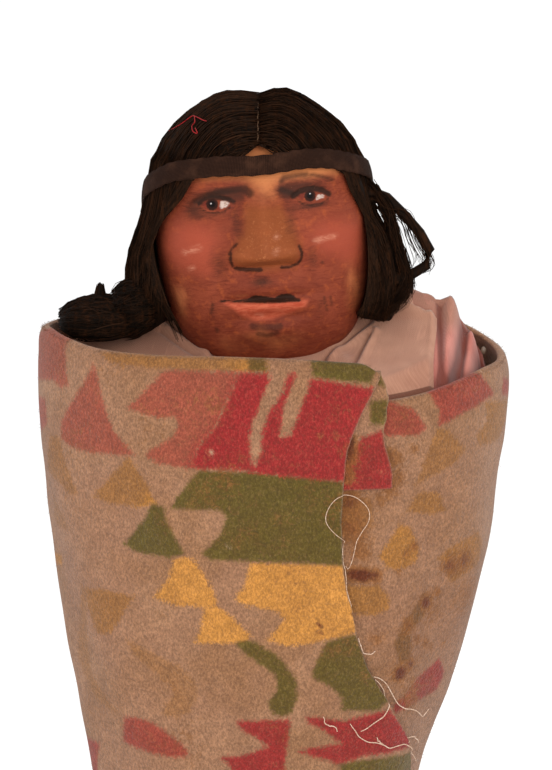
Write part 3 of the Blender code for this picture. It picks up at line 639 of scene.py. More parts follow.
def make_blanket(recipe):
    """One closed wall. Its columns go once round and under the lap, its rows down the outside and up the inside."""
    edge = np.array([0, 0.12, 0.3, 0.6, 1.0, 1.5, 2.1]) / WRAP_LENGTH
    travel = np.concatenate([edge, np.linspace(2.9 / WRAP_LENGTH, 1.088, 420)])
    downs = np.linspace(0, 1, 141) ** 1.04
    profile = [(d, 0.0, 0.0) for d in downs[::-1]]
    profile += [(0.0, (1 - math.cos(b)) / 2, math.sin(b)) for b in np.linspace(0, math.pi, 9)[1:-1]]
    profile += [(d, 1.0, 0.0) for d in downs[::4]]
    profile += [(1.0, (1 + math.cos(b)) / 2, -math.sin(b)) for b in np.linspace(0, math.pi, 5)[1:-1]]
    # Each end is closed by quads between outside and inside, and one face over the rim's and the hem's roundings
    ends = [[140, *range(141, 148), 148], [183, *range(184, len(profile)), 0]]
    ends += [[*range(140 - 4 * j, 135 - 4 * j, -1), 149 + j, 148 + j] for j in range(35)]
    down, through_share, lift = (np.array(v)[:, None] for v in zip(*profile))
    t = travel[None, :]
    thick = 2.5 - 0.7 * (1 - smooth((t - 0.02) / 0.08)) - 0.3 * smooth((t - 0.98) / 0.03)
    from_edge = np.clip(t * WRAP_LENGTH / 0.85, 0, 1)
    rounding = thick / 2 * (1 - np.sqrt(np.maximum(0, 1 - (1 - from_edge) ** 2)))
    outer = lap_inset(t) + 0.35 * smooth((t - 1.0) / 0.04) + rounding
    inset = outer + (thick - 2 * rounding) * through_share
    rim = through(RIM, 360 * np.clip(t, 0, 1))
    # A soft corner at the lap's top
    top = rim - 1.4 - 2.0 * (1 - smooth(t * WRAP_LENGTH / 5.0))
    height = top + (HEM - top) * down + lift * (0.5 * thick)
    tuck = 0.9 * (inset - outer) * smooth((0.05 - t) / 0.05) * (t < 0.5) / WRAP_LENGTH
    x, y, angle = blanket_point(t + tuck, height, inset)
    upright = np.stack([height * 0, height * 0, height], -1)
    ragged = ripples(upright, 4.0, 3.3) * 0.35
    ragged += ripples(upright, 1.1, 8.3) * 0.16
    x = x + ragged * (1 - smooth(t * WRAP_LENGTH / 2.5))
    everywhere = height + 0 * x
    grid = np.stack([x, y, everywhere], -1)
    grid = grid + outward(angle) * wrap_swell(angle, everywhere)[..., None]
    fields = blanket_fields(angle, np.minimum(everywhere, rim), t + 0 * x)
    fields["edge"] = (1 - smooth(t * WRAP_LENGTH / 0.5)) * (1 - smooth(through_share / 0.4)) + 0 * x
    return skin("wool_blanket", grid, recipe, around=False, along=True, fields=fields, ends=ends)


def make_inner_ply(recipe):
    """The blanket's second layer, which shows beside the outer layer's free edge near the top."""
    bottom = 194.6
    heights = np.linspace(bottom, 228.2, 70)
    reach = through(PLY_EDGE, heights) + 0.9
    shares = np.concatenate([np.linspace(0, 0.92, 22), [0.95, 0.975, 0.99, 1.0]])
    wobble = np.array([noise.noise(Vector((0, 3.1, h / 3.0))) * 0.35 for h in heights])
    edge = np.clip((1 - shares[None, :]) * 20.0 / 0.6, 0, 1)
    round_off = 0.42 * (1 - np.sqrt(np.maximum(0, 1 - (1 - edge) ** 2)))
    u = (reach[:, None] + wobble[:, None]) * shares[None, :] + (1 - shares[None, :]) * 12.0
    z = np.repeat(heights[:, None], len(shares), 1)
    angle = angle_at(u, z)
    sides = []
    for inset in (1.25 + round_off, 2.15 - round_off):
        x, y = outline_point(angle, z, inset + 0 * u - wrap_fold(angle, z))
        sides.append(np.stack([x, y, z], -1) + outward(angle) * billows(angle, z)[..., None])
    grid = np.concatenate([sides[0], sides[1][:, ::-1]], 1)
    u, z = np.concatenate([u, u[:, ::-1]], 1), np.concatenate([z, z], 1)
    fields = woven(u, z, PLY_AREAS)
    fields["stain"] = spots(u, z, ((20.6, 204.9, 3.2, 0.9), (21.7, 208.5, 2.2, 0.8), (21, 199, 2.5, 0.6)))
    fields["pale"] = 0 * u
    # Soil and painted shade over the whole second layer
    fields["soil_and_shade"] = 0.4 + 0 * u
    near = np.minimum(np.abs(reach[:, None] - u), 9)
    fields["edge"] = (1 - smooth(near / 0.9)) + (1 - smooth((z - bottom) / 0.5)) * 0.4
    return skin("blanket_inner_ply", grid, recipe, fields=fields)


def on_blanket(u, height, proud):
    """A point over the blanket's outside at a place round the front."""
    x, y = outline_point(angle_at(u, height), height, -proud)
    return np.stack([x, y, height], -1)


def make_yarns(recipe):
    made = []
    for number, (name, path) in enumerate(YARNS.items()):
        line = along_path(path, 44)
        line = line + 0.28 * np.array([[noise.noise(Vector((number * 3.1, i * 0.21, 0.2))),
                                        noise.noise(Vector((number, i * 0.21, 7.2)))] for i in range(len(line))])
        over = through(LAP_EDGE, line[:, 1])
        edge_u, _ = arc(np.radians(over), line[:, 1])
        on_outer = smooth((edge_u - line[:, 0]) / 1.6 + 0.5)
        proud = 0.55 - (1 - on_outer) * 2.0 + 0.35 * np.abs(np.sin(np.linspace(0, 7, len(line)) + number))
        points = on_blanket(line[:, 0], line[:, 1], proud)
        thick = 0.11 if name in ("loop", "down") else 0.16
        radii = thick * (0.75 + 0.25 * np.sin(np.linspace(0, 1, len(line)) * math.pi))
        made.append(tubes("frayed_yarn_" + name, points[None], radii[None], recipe, sides=6))
    return made


# The head
def face_relief(x, z):
    side = np.abs(x)
    relief = 0.9 * hill(side, z, 12.0, 15.5, 9.0, 2.6)
    relief -= 2.0 * hill(side, z, 13.8, 10.5, 7.5, 4.0)
    relief += 1.7 * hill(side, z, 14.3, 10.7, 4.6, 2.7)
    relief += 2.3 * hill(side, z, 20.6, -2.5, 8.5, 8.0)
    bridge = smooth((14.0 - z) / 18.0)
    end = smooth((z + 9.4) / 3.0)
    ridge = 1.4 * smooth((21.0 - z) / 8.0) + 6.4 * bridge
    relief += ridge * end * np.exp(-((x / (3.0 + 3.4 * bridge)) ** 2))
    relief += 3.6 * hill(side, z, 8.0, -5.2, 3.1, 3.2)
    relief -= 0.9 * hill(side, z, 14.0, -11.0, 2.4, 7.0)
    relief += 1.8 * hill(x, z, 0.0, -14.5, 11.0, 3.2)
    relief -= 1.3 * hill(x, z, 0.0, -18.2, 11.5, 0.9)
    relief += 2.2 * hill(x, z, 0.0, -20.6, 9.5, 2.2)
    relief -= 0.8 * hill(x, z, 0.0, -24.2, 8.0, 1.5)
    relief += 1.9 * hill(x, z, 0.0, -28.5, 9.0, 3.4)
    return relief


def fine_relief(x, z):
    """Lids, eyeballs, nostrils and the edges of the lips, on top of the main forms."""
    more = 0.0
    for at in (-14.3, 14.3):
        across = (x - at) / 5.2
        upper = 9.6 + 2.0 * (1 - across**2)
        lower = 9.0 - 1.6 * (1 - across**2)
        here = smooth((1.25 - np.abs(across)) / 0.3)
        more = more + here * 0.55 * bell(z - upper - 0.5, 0.7)
        more = more + here * 0.35 * bell(z - lower + 0.4, 0.6)
        more = more + here * 0.45 * np.exp(-(((z - 9.4) / 1.5) ** 2) - across**2)
    more = more - 0.75 * hill(np.abs(x), z, 5.6, -9.4, 2.6, 0.7)
    wing = np.hypot((np.abs(x) - 7.2) / 1.0, (z + 5.6) / 1.15) - 3.7
    more = more - 0.5 * bell(wing, 0.55) * smooth((np.abs(x) - 6.5) / 2)
    more = more - 0.7 * bell(z + 18.9 + 0.02 * x, 0.5) * smooth((12.5 - np.abs(x + 1)) / 2)
    more = more + 0.35 * bell(z + 21.6, 1.2) * smooth((10.5 - np.abs(x)) / 3)
    return more


def head_points(columns=340, rows=200):
    """The head's surface, closer together at the face, with each point's place on the face and how far it faces us."""
    turn = np.linspace(0, 2 * math.pi, columns, endpoint=False)
    turn = turn - 0.62 * np.sin(turn)
    share = np.linspace(0, 1, rows + 2)[1:-1]
    rise = math.pi * (share - 0.5) - 0.19 * np.sin(2 * math.pi * share)
    turn, rise = np.meshgrid(turn, rise)
    level = np.cos(rise)
    direction = np.stack([np.sin(turn) * level, -np.cos(turn) * level, np.sin(rise)], -1)
    depth = np.where(direction[..., 1] < 0, HEAD_FRONT, HEAD_BACK)
    reach = np.where(direction[..., 2] > 0, HEAD_UP, HEAD_DOWN)
    halves = (HEAD_HALF_WIDTH, depth, reach)
    total = sum(np.abs(direction[..., i] / half) ** HEAD_POWER for i, half in enumerate(halves))
    point = direction * (total ** (-1 / HEAD_POWER))[..., None]
    facing = smooth(-point[..., 1] / 12.0)
    x, z = point[..., 0].copy(), point[..., 2].copy()
    point[..., 1] -= (face_relief(x, z) + fine_relief(x, z)) * facing
    return point, x, z, facing


def lean_head(point):
    cy, sy, cz, sz = math.cos(-HEAD_LEAN), math.sin(-HEAD_LEAN), math.cos(HEAD_TURN), math.sin(HEAD_TURN)
    about_y = np.array([[cy, 0, sy], [0, 1, 0], [-sy, 0, cy]])
    about_z = np.array([[cz, -sz, 0], [sz, cz, 0], [0, 0, 1]])
    return point @ (about_z @ about_y).T + np.array(HEAD_MIDDLE)


# The painted features, from the face's middle: outlines, strokes as half width and path, discs as radius, place,
# height and flatness, and soft tints as hills
FACE_OUTLINES = {
    "lip": (((-13.6, -18.4), (-9.1, -19.2), (-2.6, -19.4), (4, -19.6), (7.3, -19.8), (11, -20), (10.4, -21.8),
             (5.8, -23.2), (0.4, -24.6), (-4.3, -24.6), (-8.1, -23.1), (-10.6, -20.8)),),
    "mouth": (((-13.8, -18.4), (-6.4, -18.2), (-3.9, -17.2), (-1.1, -17.8), (1.5, -18.6), (3.5, -17.5), (6.0, -17.7),
               (7.6, -18.9), (9.6, -19.7), (4, -20.1), (-1.2, -19.4), (-5.8, -19.3)),),
    "nose": (((-4.3, 8.2), (5.4, 7.4), (8.8, -0.5), (9.6, -7.1), (7.5, -9.4), (-0.6, -10), (-8.2, -8.6), (-10, -5.4),
              (-6.3, 0.8)),),
    "white": (((-12.5, 8.7), (-11.7, 10.5), (-10, 10.6), (-8.6, 9.6), (-9.9, 8.5), (-11.7, 8.0)),
              ((15.3, 8.7), (16.0, 10.2), (17.8, 10.0), (19.0, 9.1), (17.1, 8.3), (15.6, 8.1))),
    "corner": (((-17.2, 9.5), (-15.8, 10.9), (-15.2, 9.8), (-15.9, 8.3)),
               ((10.4, 10.0), (12.1, 11.0), (12.6, 9.8), (11.6, 8.6)),
               ((-13.0, 8.6), (-12.0, 9.4), (-11.6, 8.1), (-12.8, 7.7))),
}
FACE_STROKES = {
    "mouth": ((0.36, ((-13.9, -18.4), (-6.4, -18.8), (0, -19.5), (8.6, -19.9))),),
    "nostril": (
        (0.62, ((-8.8, -9.0), (-6.2, -9.6), (-4, -9.8), (-1.8, -10.0))),
        (0.42, ((4.2, -9.8), (6.6, -9.9), (8.8, -9.2))),
        (0.38, ((-9.9, -4.6), (-10.2, -6.4), (-9.7, -8.3), (-8.6, -9.3))),
        (0.42, ((9.6, -3.9), (10.3, -5.9), (10, -7.8), (8.9, -9.2))),
        (0.26, ((-7.8, -1.8), (-9.5, -3.1), (-10.6, -4.9))),
    ),
    "lash": (
        (0.6, ((-17.8, 10.2), (-16, 11.3), (-14, 11.7), (-11.7, 11.4), (-9.5, 10.8), (-7.8, 9.8))),
        (0.8, ((9.1, 10.1), (11, 11.3), (13, 11.8), (15.3, 11.8), (17.7, 11.0), (19.5, 9.7))),
        (0.22, ((-17.4, 8.6), (-15.8, 7.5), (-13.4, 7.1), (-11.2, 7.3), (-9, 8.5))),
        (0.25, ((10.5, 8.7), (12.1, 7.5), (14.4, 7.0), (16.7, 7.1), (19.1, 8.1))),
    ),
    "brow": (
        (0.8, ((-18.8, 10.8), (-15.2, 12.4), (-11.5, 13.0))),
        (1.0, ((-12.5, 12.9), (-8.7, 13.3), (-5.8, 13.5), (-3.8, 12.9), (-3.0, 11.9))),
        (1.25, ((-4.4, 13.3), (-3.2, 12.2))),
        (0.75, ((6.2, 14.8), (7.1, 15.7), (8.8, 15.8), (11.1, 16.0), (13.5, 15.9))),
        (0.5, ((13.5, 15.9), (15.7, 15.6), (17.5, 15.0), (20.8, 13.7))),
        (0.8, ((5.9, 12.3), (8.4, 11.2), (10.2, 10.6))),
    ),
    "dab": (
        (1.0, ((-5.4, -26.4), (-1.6, -27), (2.4, -27.0))), (0.75, ((-3.9, -28.7), (-1.5, -29.3), (1.5, -28.6))),
        (0.4, ((-16.4, -19.4), (-16.9, -21.6))), (0.5, ((-15.8, -26.7), (-15.5, -27.3))),
        (0.35, ((15.8, -19.8), (16.4, -23.7))), (0.3, ((17.6, -19.8), (17.9, -22.4))),
        (0.3, ((-2.8, -13.1), (-2.3, -13.8))), (0.3, ((15.9, -9.2), (16.2, -9.7))),
    ),
    # Painted highlights: pale glints on the cheeks, nose and lower lip
    "painted_highlight": (
        (0.3, ((-23.0, -3.6), (-20.6, -2.9), (-18.6, -2.4))), (0.1, ((-22.0, -8.6), (-21.0, -8.2))),
        (0.25, ((14.5, -3.1), (17.0, -2.6), (20.5, -2.2))), (0.3, ((2.6, -4.8), (3.2, -4.4))),
        (0.25, ((3.3, -0.7), (3.6, -0.4))), (0.25, ((-3.9, -23.0), (-2.9, -23.2))),
    ),
}
FACE_DISCS = {
    "iris": ((1.75, -14.1, 9.6, 1.02), (1.65, 14.0, 9.8, 1.02)),
    "pupil": ((0.95, -14.1, 9.7, 1.0), (0.9, 14.0, 9.9, 1.0)),
    "glint": ((0.30, -14.4, 10.0, 1.0), (0.28, 14.1, 10.3, 1.0)),
}
FACE_TINTS = {
    "shade": (
        (0.9, -11.5, 12.4, 6.5, 2.0), (0.8, 12.5, 12.6, 7.0, 2.2), (0.65, 14.0, 6.9, 5.5, 1.2),
        (0.5, -13.5, 6.6, 5.0, 1.3), (0.75, 7.0, 11.2, 2.4, 2.2), (0.4, -6.0, 10.8, 2.0, 2.6),
        (0.5, -7.6, 3.0, 2.0, 5.0), (0.45, 8.0, 3.0, 2.2, 5.5), (0.5, -13.6, -7.5, 3.4, 5.5),
        (0.45, 13.4, -7.5, 2.0, 4.5), (0.7, -1.6, -13.4, 3.6, 1.8), (0.35, 14.8, -22.0, 1.6, 5.0),
        (0.3, -16.2, -21.0, 1.5, 5.0), (0.75, -19.5, 8.6, 3.0, 3.2),
    ),
    "rouge": (
        (0.95, -21.0, -2.0, 9.0, 8.0), (0.25, -16, -9.5, 4.0, 3.0), (0.68, 18.5, -2.5, 8.5, 7.0),
        (0.5, 25.5, -6.5, 5.0, 9.0),
    ),
    # Lighter paint on the forehead, and painted highlights on the nose, along the jaw, over the upper lip and at the
    # chin
    "warm_tint_and_highlight": (
        (1.3, 14, 19.0, 15, 4.4), (0.45, -10, 17.5, 9, 2.2), (0.6, 0, 22, 30, 4), (0.45, 25.0, -17, 4.0, 10),
        (0.38, -25.0, -17, 3.6, 8), (0.55, 1.5, 13, 5.5, 6), (0.5, -8.5, -17.0, 4.0, 0.9),
        (0.4, 8.5, -17.0, 4.0, 0.9), (0.38, 0, -31, 20, 5), (0.35, -5, 6.0, 2.0, 4.0),
    ),
}


def painted_fields(x, z, facing):
    """Depths inside the painted features, in mm, negative outside, and the strengths of the soft tints."""
    fields = {name: hills(x, z, places) * facing for name, places in FACE_TINTS.items()}
    for name in {**FACE_OUTLINES, **FACE_STROKES, **FACE_DISCS}:
        depths = [inside_depth(x, z, corners) for corners in FACE_OUTLINES.get(name, ())]
        depths += [stroke_depth(x, z, path, half) for half, path in FACE_STROKES.get(name, ())]
        depths += [radius - np.hypot(x - at, (z - up) * flat) for radius, at, up, flat in FACE_DISCS.get(name, ())]
        fields[name] = np.maximum.reduce(depths) * facing - 3.0 * (1 - facing)
    return fields


def face_recipe():
    """Brush-painted composition with a satin varnish."""
    r = Recipe("painted_composition", Specular_IOR_Level=0.08)
    where = r.place()
    face = r.vector("face")
    strokes = r.noise(r.scaled(face, 0.22, 1.0, 0.75), 1.1, 4.0, 0.68, 1.4)
    fine = r.noise(where, 1300.0, 3.0, 0.7)
    cloud = r.noise(where, 95.0, 4.0, 0.62, 0.5)
    grain = r.noise(where, 430.0, 2.0, 0.6)
    wobble = r.plus(r.sway(strokes, 0.55), r.sway(fine, 0.5))

    def area(name, soft, low=None):
        value = r.plus(r.field(name), wobble)
        return r.spread(value, -soft if low is None else low, soft)

    base = r.mix(r.spread(cloud, 0.32, 0.68), paint(113, 50, 33), paint(131, 61, 40))
    base = r.mix(r.spread(strokes, 0.42, 0.66, 0.0, 0.62), base, paint(98, 38, 26))
    base = r.mix(r.spread(grain, 0.52, 0.72, 0.0, 0.35), base, paint(160, 78, 40))
    # Lighter paint with painted highlights
    warm_tint_and_highlight = r.plus(r.field("warm_tint_and_highlight"), r.sway(cloud, 0.8))
    colour = r.mix(r.spread(warm_tint_and_highlight, 0.15, 1.0), base, paint(194, 120, 74))
    rouge = r.plus(r.field("rouge"), r.sway(strokes, 0.45))
    colour = r.mix(r.spread(rouge, 0.12, 0.85, 0.0, 0.92), colour, paint(146, 65, 46))
    nose = r.plus(r.field("nose"), r.sway(cloud, 3.0))
    colour = r.mix(r.spread(nose, -2.2, 1.6, 0.0, 0.78), colour, paint(130, 69, 36))
    # Pale flecks over the nose: painted highlights
    flecks = r.times(r.spread(nose, 0.0, 3.0), r.spread(fine, 0.54, 0.74, 0.0, 0.42))
    colour = r.mix(flecks, colour, paint(188, 120, 76))
    shade = r.plus(r.field("shade"), r.sway(strokes, 0.7))
    colour = r.mix(r.spread(shade, 0.05, 0.85, 0.0, 0.92), colour, paint(66, 34, 24))
    colour = r.mix(r.times(area("lip", 0.9), 0.9), colour,
                   r.mix(r.spread(strokes, 0.35, 0.65), paint(164, 68, 46), paint(184, 92, 66)))
    brow = r.times(area("brow", 0.7, -0.7), r.spread(strokes, 0.2, 0.62, 0.98, 0.65))
    colour = r.mix(brow, colour, paint(36, 24, 18))
    colour = r.mix(r.times(area("dab", 0.55), 0.62), colour, paint(51, 28, 20))
    white = r.mix(r.spread(fine, 0.3, 0.6), paint(146, 116, 102), paint(184, 164, 154))
    colour = r.mix(area("white", 0.5, -0.05), colour, white)
    colour = r.mix(r.times(area("corner", 0.4), 0.75), colour, paint(96, 36, 27))
    colour = r.mix(r.times(area("lash", 0.35), 0.9), colour, paint(37, 22, 16))
    colour = r.mix(area("iris", 0.25), colour, paint(40, 18, 12))
    colour = r.mix(area("pupil", 0.3), colour, paint(9, 4, 4))
    colour = r.mix(r.spread(r.field("glint"), -0.12, 0.12), colour, paint(204, 196, 194))
    colour = r.mix(r.times(area("mouth", 0.28), 0.95), colour, paint(33, 20, 13))
    colour = r.mix(r.times(area("nostril", 0.3), 0.85), colour, paint(36, 22, 16))
    colour = r.mix(r.spread(fine, 0.66, 0.80, 0.0, 0.35), colour, paint(185, 124, 83))
    colour = r.mix(r.spread(fine, 0.20, 0.36, 0.35, 0.0), colour, paint(51, 23, 15))
    # Painted highlights on the cheeks, nose and lip
    painted_highlight = r.times(area("painted_highlight", 1.3), r.spread(strokes, 0.35, 0.7, 0.1, 0.75))
    colour = r.mix(painted_highlight, colour, paint(212, 150, 122))
    height = r.plus(strokes, r.times(grain, 0.5))
    normal = r.bump(height, 0.00035, 0.55)
    normal = r.bump(fine, 0.00010, 0.5, normal)
    eye = r.spread(r.math("MAXIMUM", r.field("iris"), r.field("white")), -0.1, 0.2)
    rough = r.math("SUBTRACT", r.spread(cloud, 0.3, 0.7, 0.50, 0.66), r.times(eye, 0.08))
    return r.finish(colour, normal, rough)


def make_head():
    point, x, z, facing = head_points()
    fields = painted_fields(x, z, facing)
    fields["face"] = np.stack([x, 0 * x, z], -1)
    # The neck's underside stays above the body, as the solid's does
    placed = lean_head(point)
    floor = shoulder_height(placed[..., 0], placed[..., 1]) + GAP
    placed[..., 2] = np.maximum(placed[..., 2], floor)
    return skin("painted_head", placed, face_recipe(), fields=fields)


# The wig
def dome(share):
    """The share of its reach that the dome keeps at a share of its height, and the other way round."""
    return np.maximum(0.0, 1 - share**WIG_POWER) ** (1 / WIG_POWER)


def wig_reaches(height):
    """How far the wig reaches to the left, right, front and back."""
    share = np.clip((height - WIG_DOME) / (WIG_TOP - WIG_DOME), 0, 1)
    return [np.where(height > WIG_DOME, WIG_CURTAIN[-1][i] * dome(share), through(WIG_CURTAIN, height, i))
            for i in (1, 2, 3, 4)]


def wig_dip(x, z):
    """How far the dome's top lies below the solid's: a notch at the parting between two soft humps."""
    return through(WIG_DIPS, x) * smooth((z - 276.0) / 14.0)


def wig_point(angle, height, swell):
    left, right, front, back = wig_reaches(height)
    side = np.where(np.sin(angle) > 0, right, left) + swell
    depth = np.where(np.cos(angle) > 0, front, back) + swell
    x, y = side * power(np.sin(angle), 2 / WIG_ROUND), -depth * power(np.cos(angle), 2 / WIG_ROUND)
    return x + WIG_X, y + WIG_Y


def face_edges(z):
    """The wig's left and right edges beside the face, at heights from the head's middle."""
    return [np.interp(z, heights, places) + HEAD_MIDDLE[0] for places, heights in (FACE_LEFT, FACE_RIGHT)]


def keep_off_face(points, margin):
    """Moves hair that would hang over the face sideways to the opening's edge, on the wig's own surface."""
    z = points[..., 2] - HEAD_MIDDLE[2]
    left_edge, right_edge = face_edges(z)
    side = points[:, 6:7, 0] > WIG_X
    x = points[..., 0]
    low = (z < 25.6) & (points[..., 1] < -2.0)
    moved = np.where(low, np.where(side, np.maximum(x, right_edge + margin), np.minimum(x, left_edge - margin)), x)
    left, right, front, _ = wig_reaches(points[..., 2])
    across = np.clip(np.abs(moved - WIG_X) / np.where(moved > WIG_X, right, left), 0, 0.999)
    y = -front * (1 - across**WIG_ROUND) ** (1 / WIG_ROUND) + WIG_Y
    new = points.copy()
    new[..., 0] = moved
    new[..., 1] = np.where(moved != x, y, points[..., 1])
    return new


def hair_recipe():
    r = Recipe("dark_mohair", Specular_IOR_Level=0.03)
    where = r.place()
    tone = r.field("tone")
    streak = r.noise(r.scaled(where, 1.0, 1.0, 0.3), 700.0, 2.0, 0.6)
    colour = r.mix(tone, paint(13, 8, 5), paint(52, 32, 20))
    colour = r.mix(r.spread(streak, 0.45, 0.75, 0.0, 0.35), colour, paint(68, 38, 20))
    normal = r.bump(streak, 0.0002, 0.4)
    return r.finish(colour, normal, r.spread(streak, 0.3, 0.7, 0.55, 0.75))


def hair_floor(x, y):
    """The lowest that hair reaches at the front, where the neckerchief shows beside the jaw."""
    left = 239.0 + 0.65 * np.minimum(0, x + 32.3) + 1.5 * np.clip(x + 32.3, 0, 3.4)
    floor = np.where(x < 0, left, 239.0 + 0.25 * np.maximum(0, 33.0 - x))
    return np.where((y < 4.0) & (np.abs(x) > 8.0), floor - 30 * smooth((y + 2.0) / 6.0), 0.0)


def lock_paths(count, seed):
    """Strands from the parting over the dome and down the curtain, in clumps."""
    rng = np.random.default_rng(seed)
    steps = 15
    clump = rng.integers(0, max(count // 14, 1), count)
    clumps = clump.max() + 1
    end = rng.uniform(0, 2 * math.pi, clumps)[clump] + rng.normal(0, 0.035, count)
    t = np.linspace(0, 1, steps)[None, :]
    side = np.sign(np.sin(end))
    start_y = np.clip(-28.0 + 60.0 * ((1 - np.cos(end)) / 2) ** 0.8 + rng.normal(0, 1.5, count), -28, 30)
    turn_at = 0.62
    over = np.clip(t / turn_at, 0, 1)
    fall = np.clip((t - turn_at) / (1 - turn_at), 0, 1)
    ex, ey = wig_point(end, np.full(count, WIG_DOME), 0.0)
    ex, ey = ex - WIG_X, ey - WIG_Y
    sx = side * rng.uniform(-0.5, 1.0, count)
    bow = np.sin(over * math.pi)
    x = sx[:, None] + (ex - sx)[:, None] * over**0.92
    y = start_y[:, None] - WIG_Y + (ey - (start_y - WIG_Y))[:, None] * over**1.25
    x = x + rng.normal(0, 0.5, count)[:, None] * bow
    left, right, front, back = WIG_CURTAIN[-1][1:]
    sideways, backwards = np.abs(x) / np.where(x > 0, right, left), np.abs(y) / np.where(y > 0, back, front)
    share = np.clip((sideways**WIG_ROUND + backwards**WIG_ROUND) ** (1 / WIG_ROUND), 0, 0.9999)
    height = WIG_DOME + dome(share) * (WIG_TOP - WIG_DOME)
    bottom = np.where(np.abs(np.sin(end)) > 0.5, 243.0, 238.0) + rng.normal(0, 2.2, count)
    drop = WIG_DOME + (bottom[:, None] - WIG_DOME) * fall
    phase = rng.uniform(0, 6.3, clumps)[clump][:, None]
    wave = 0.035 * np.sin(drop * 0.33 + phase) * smooth(fall * 2)
    cx, cy = wig_point(end[:, None] + wave + rng.normal(0, 0.02, count)[:, None] * fall, drop, 0.0)
    x = np.where(t <= turn_at, x + WIG_X, cx)
    y = np.where(t <= turn_at, y + WIG_Y, cy)
    z = np.where(t <= turn_at, height, drop)
    points = np.stack([x, y, z], -1)
    proud = rng.uniform(-0.9, 0.2, count)[:, None] + 0.25 * np.sin(t * 9 + phase)
    proud = proud - 0.7 * bell(z - band_height(points[..., 0] - WIG_X, points[..., 1]), 4.0)
    away = points - np.array([WIG_X, WIG_Y, 262.0])
    away /= np.linalg.norm(away, axis=-1, keepdims=True)
    points = points + away * proud[..., None]
    stray = np.array([[noise.noise_vector(Vector(p) / 9.0 + Vector((i * 0.37, 0, 0))) for p in line]
                      for i, line in enumerate(points)])
    points = points + stray * 0.55
    points[..., 2] -= wig_dip(points[..., 0], points[..., 2])
    uneven = rng.uniform(-0.4, 1.4, count)[:, None]
    points[..., 2] = np.maximum(points[..., 2], hair_floor(points[..., 0], points[..., 1]) + uneven)
    points = keep_off_face(points, (2.6 * rng.uniform(0, 1, count) ** 3)[:, None] + 0.1)
    on_right = points[..., 0] > 0
    floor = np.where(on_right, hair_floor(points[..., 0], points[..., 1]) + uneven, 0.0)
    points[..., 2] = np.maximum(points[..., 2], floor)
    return points, rng


def strands(name, paths, rng, recipe, radii, narrowing, tones):
    """Tubes that narrow towards their ends: radii from low to high, each in its own tone by mean and spread."""
    paths = np.array(paths)
    count, steps = paths.shape[:2]
    radius = rng.uniform(*radii, count)[:, None] * (1 - narrowing * np.linspace(0, 1, steps)[None, :] ** 3)
    tone = np.repeat(np.clip(rng.normal(*tones, count), 0, 1)[:, None], steps, 1)
    return tubes(name, paths, radius, recipe, 3, {"tone": tone})


def half_wig(name, seed, recipe, choose):
    """The strands that hang on one side of the parting."""
    points, rng = lock_paths(3000, seed)
    return strands(name, points[choose(points[:, 9, 0])], rng, recipe, (0.13, 0.22), 0.55, (0.32, 0.24))


def wig_base(recipe):
    """A close dark under-layer in the solid wig's shape, a little inside it."""
    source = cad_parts["hair"]
    mesh = bmesh.new()
    mesh.from_mesh(source.data)
    bmesh.ops.remove_doubles(mesh, verts=mesh.verts, dist=1e-6)
    bmesh.ops.recalc_face_normals(mesh, faces=mesh.faces)
    mesh.normal_update()
    for vert in mesh.verts:
        vert.co -= vert.normal * 0.0006
        vert.co.z -= float(wig_dip(vert.co.x / MM, vert.co.z / MM)) * MM
        low = float(hair_floor(np.float64(vert.co.x / MM), np.float64(vert.co.y / MM))) * MM
        vert.co.z = max(vert.co.z, low)
        z = vert.co.z / MM - HEAD_MIDDLE[2]
        if z < 12.0 and vert.co.y < -4.0 * MM:
            left, right = (float(edge) * MM for edge in face_edges(z))
            vert.co.x = min(vert.co.x, left) if vert.co.x < WIG_X * MM else max(vert.co.x, right)
    data = bpy.data.meshes.new("wig_underlayer")
    mesh.to_mesh(data)
    mesh.free()
    data.shade_smooth()
    tone = data.attributes.new("tone", "FLOAT", "POINT")
    tone.data.foreach_set("value", np.full(len(data.vertices), 0.12, np.float32))
    data.materials.append(recipe.material)
    return show("wig_underlayer", data)


def left_heap(rng, recipe):
    """The heap of hair on the left shoulder, with its small tuft."""
    small, large = ((-40, -4, 242), (9, 13, 9), -33.5, -47.5), ((-50, -2, 239), (13.5, 17, 6.5), -38.0, -63.0)
    heap = []
    for number in range(1300):
        middle, reach, start, end = small if number % 3 == 0 else large
        turn = rng.uniform(-2.0, 2.0) + np.linspace(0, rng.normal(0, 0.5), 11)
        x = np.linspace(start + rng.uniform(-3, 2), end + rng.uniform(0, 4), 11)
        round_off = np.sqrt(np.maximum(0.03, 1 - ((x - middle[0]) / reach[0]) ** 2))
        proud = rng.uniform(-0.5, 0.7)
        path = np.stack([x, middle[1] + (reach[1] * round_off + proud) * np.sin(turn),
                         middle[2] + (reach[2] * round_off + proud) * np.cos(turn)], -1)
        wander = np.array([noise.noise_vector(Vector(p) / 5.0 + Vector((number * 0.7, 0, 0))) for p in path])
        heap.append(path + wander * 0.8)
    for _ in range(170):
        wide = rng.uniform(-1, 1)
        path = ((-50.9 + 3.4 * wide, -2.3 + rng.normal(0, 1.6), 242),
                (-50.9 + 2.0 * wide, -2.2 + rng.normal(0, 0.8), 245.5),
                (-50.7 + 1.1 * wide, -2.1, 249 + rng.uniform(-2.0, 1.3) * (1 - abs(wide) * 0.5)))
        heap.append(along_path(path, 11))
    return strands("wig_left_heap", heap, rng, recipe, (0.15, 0.25), 0.6, (0.12, 0.16))


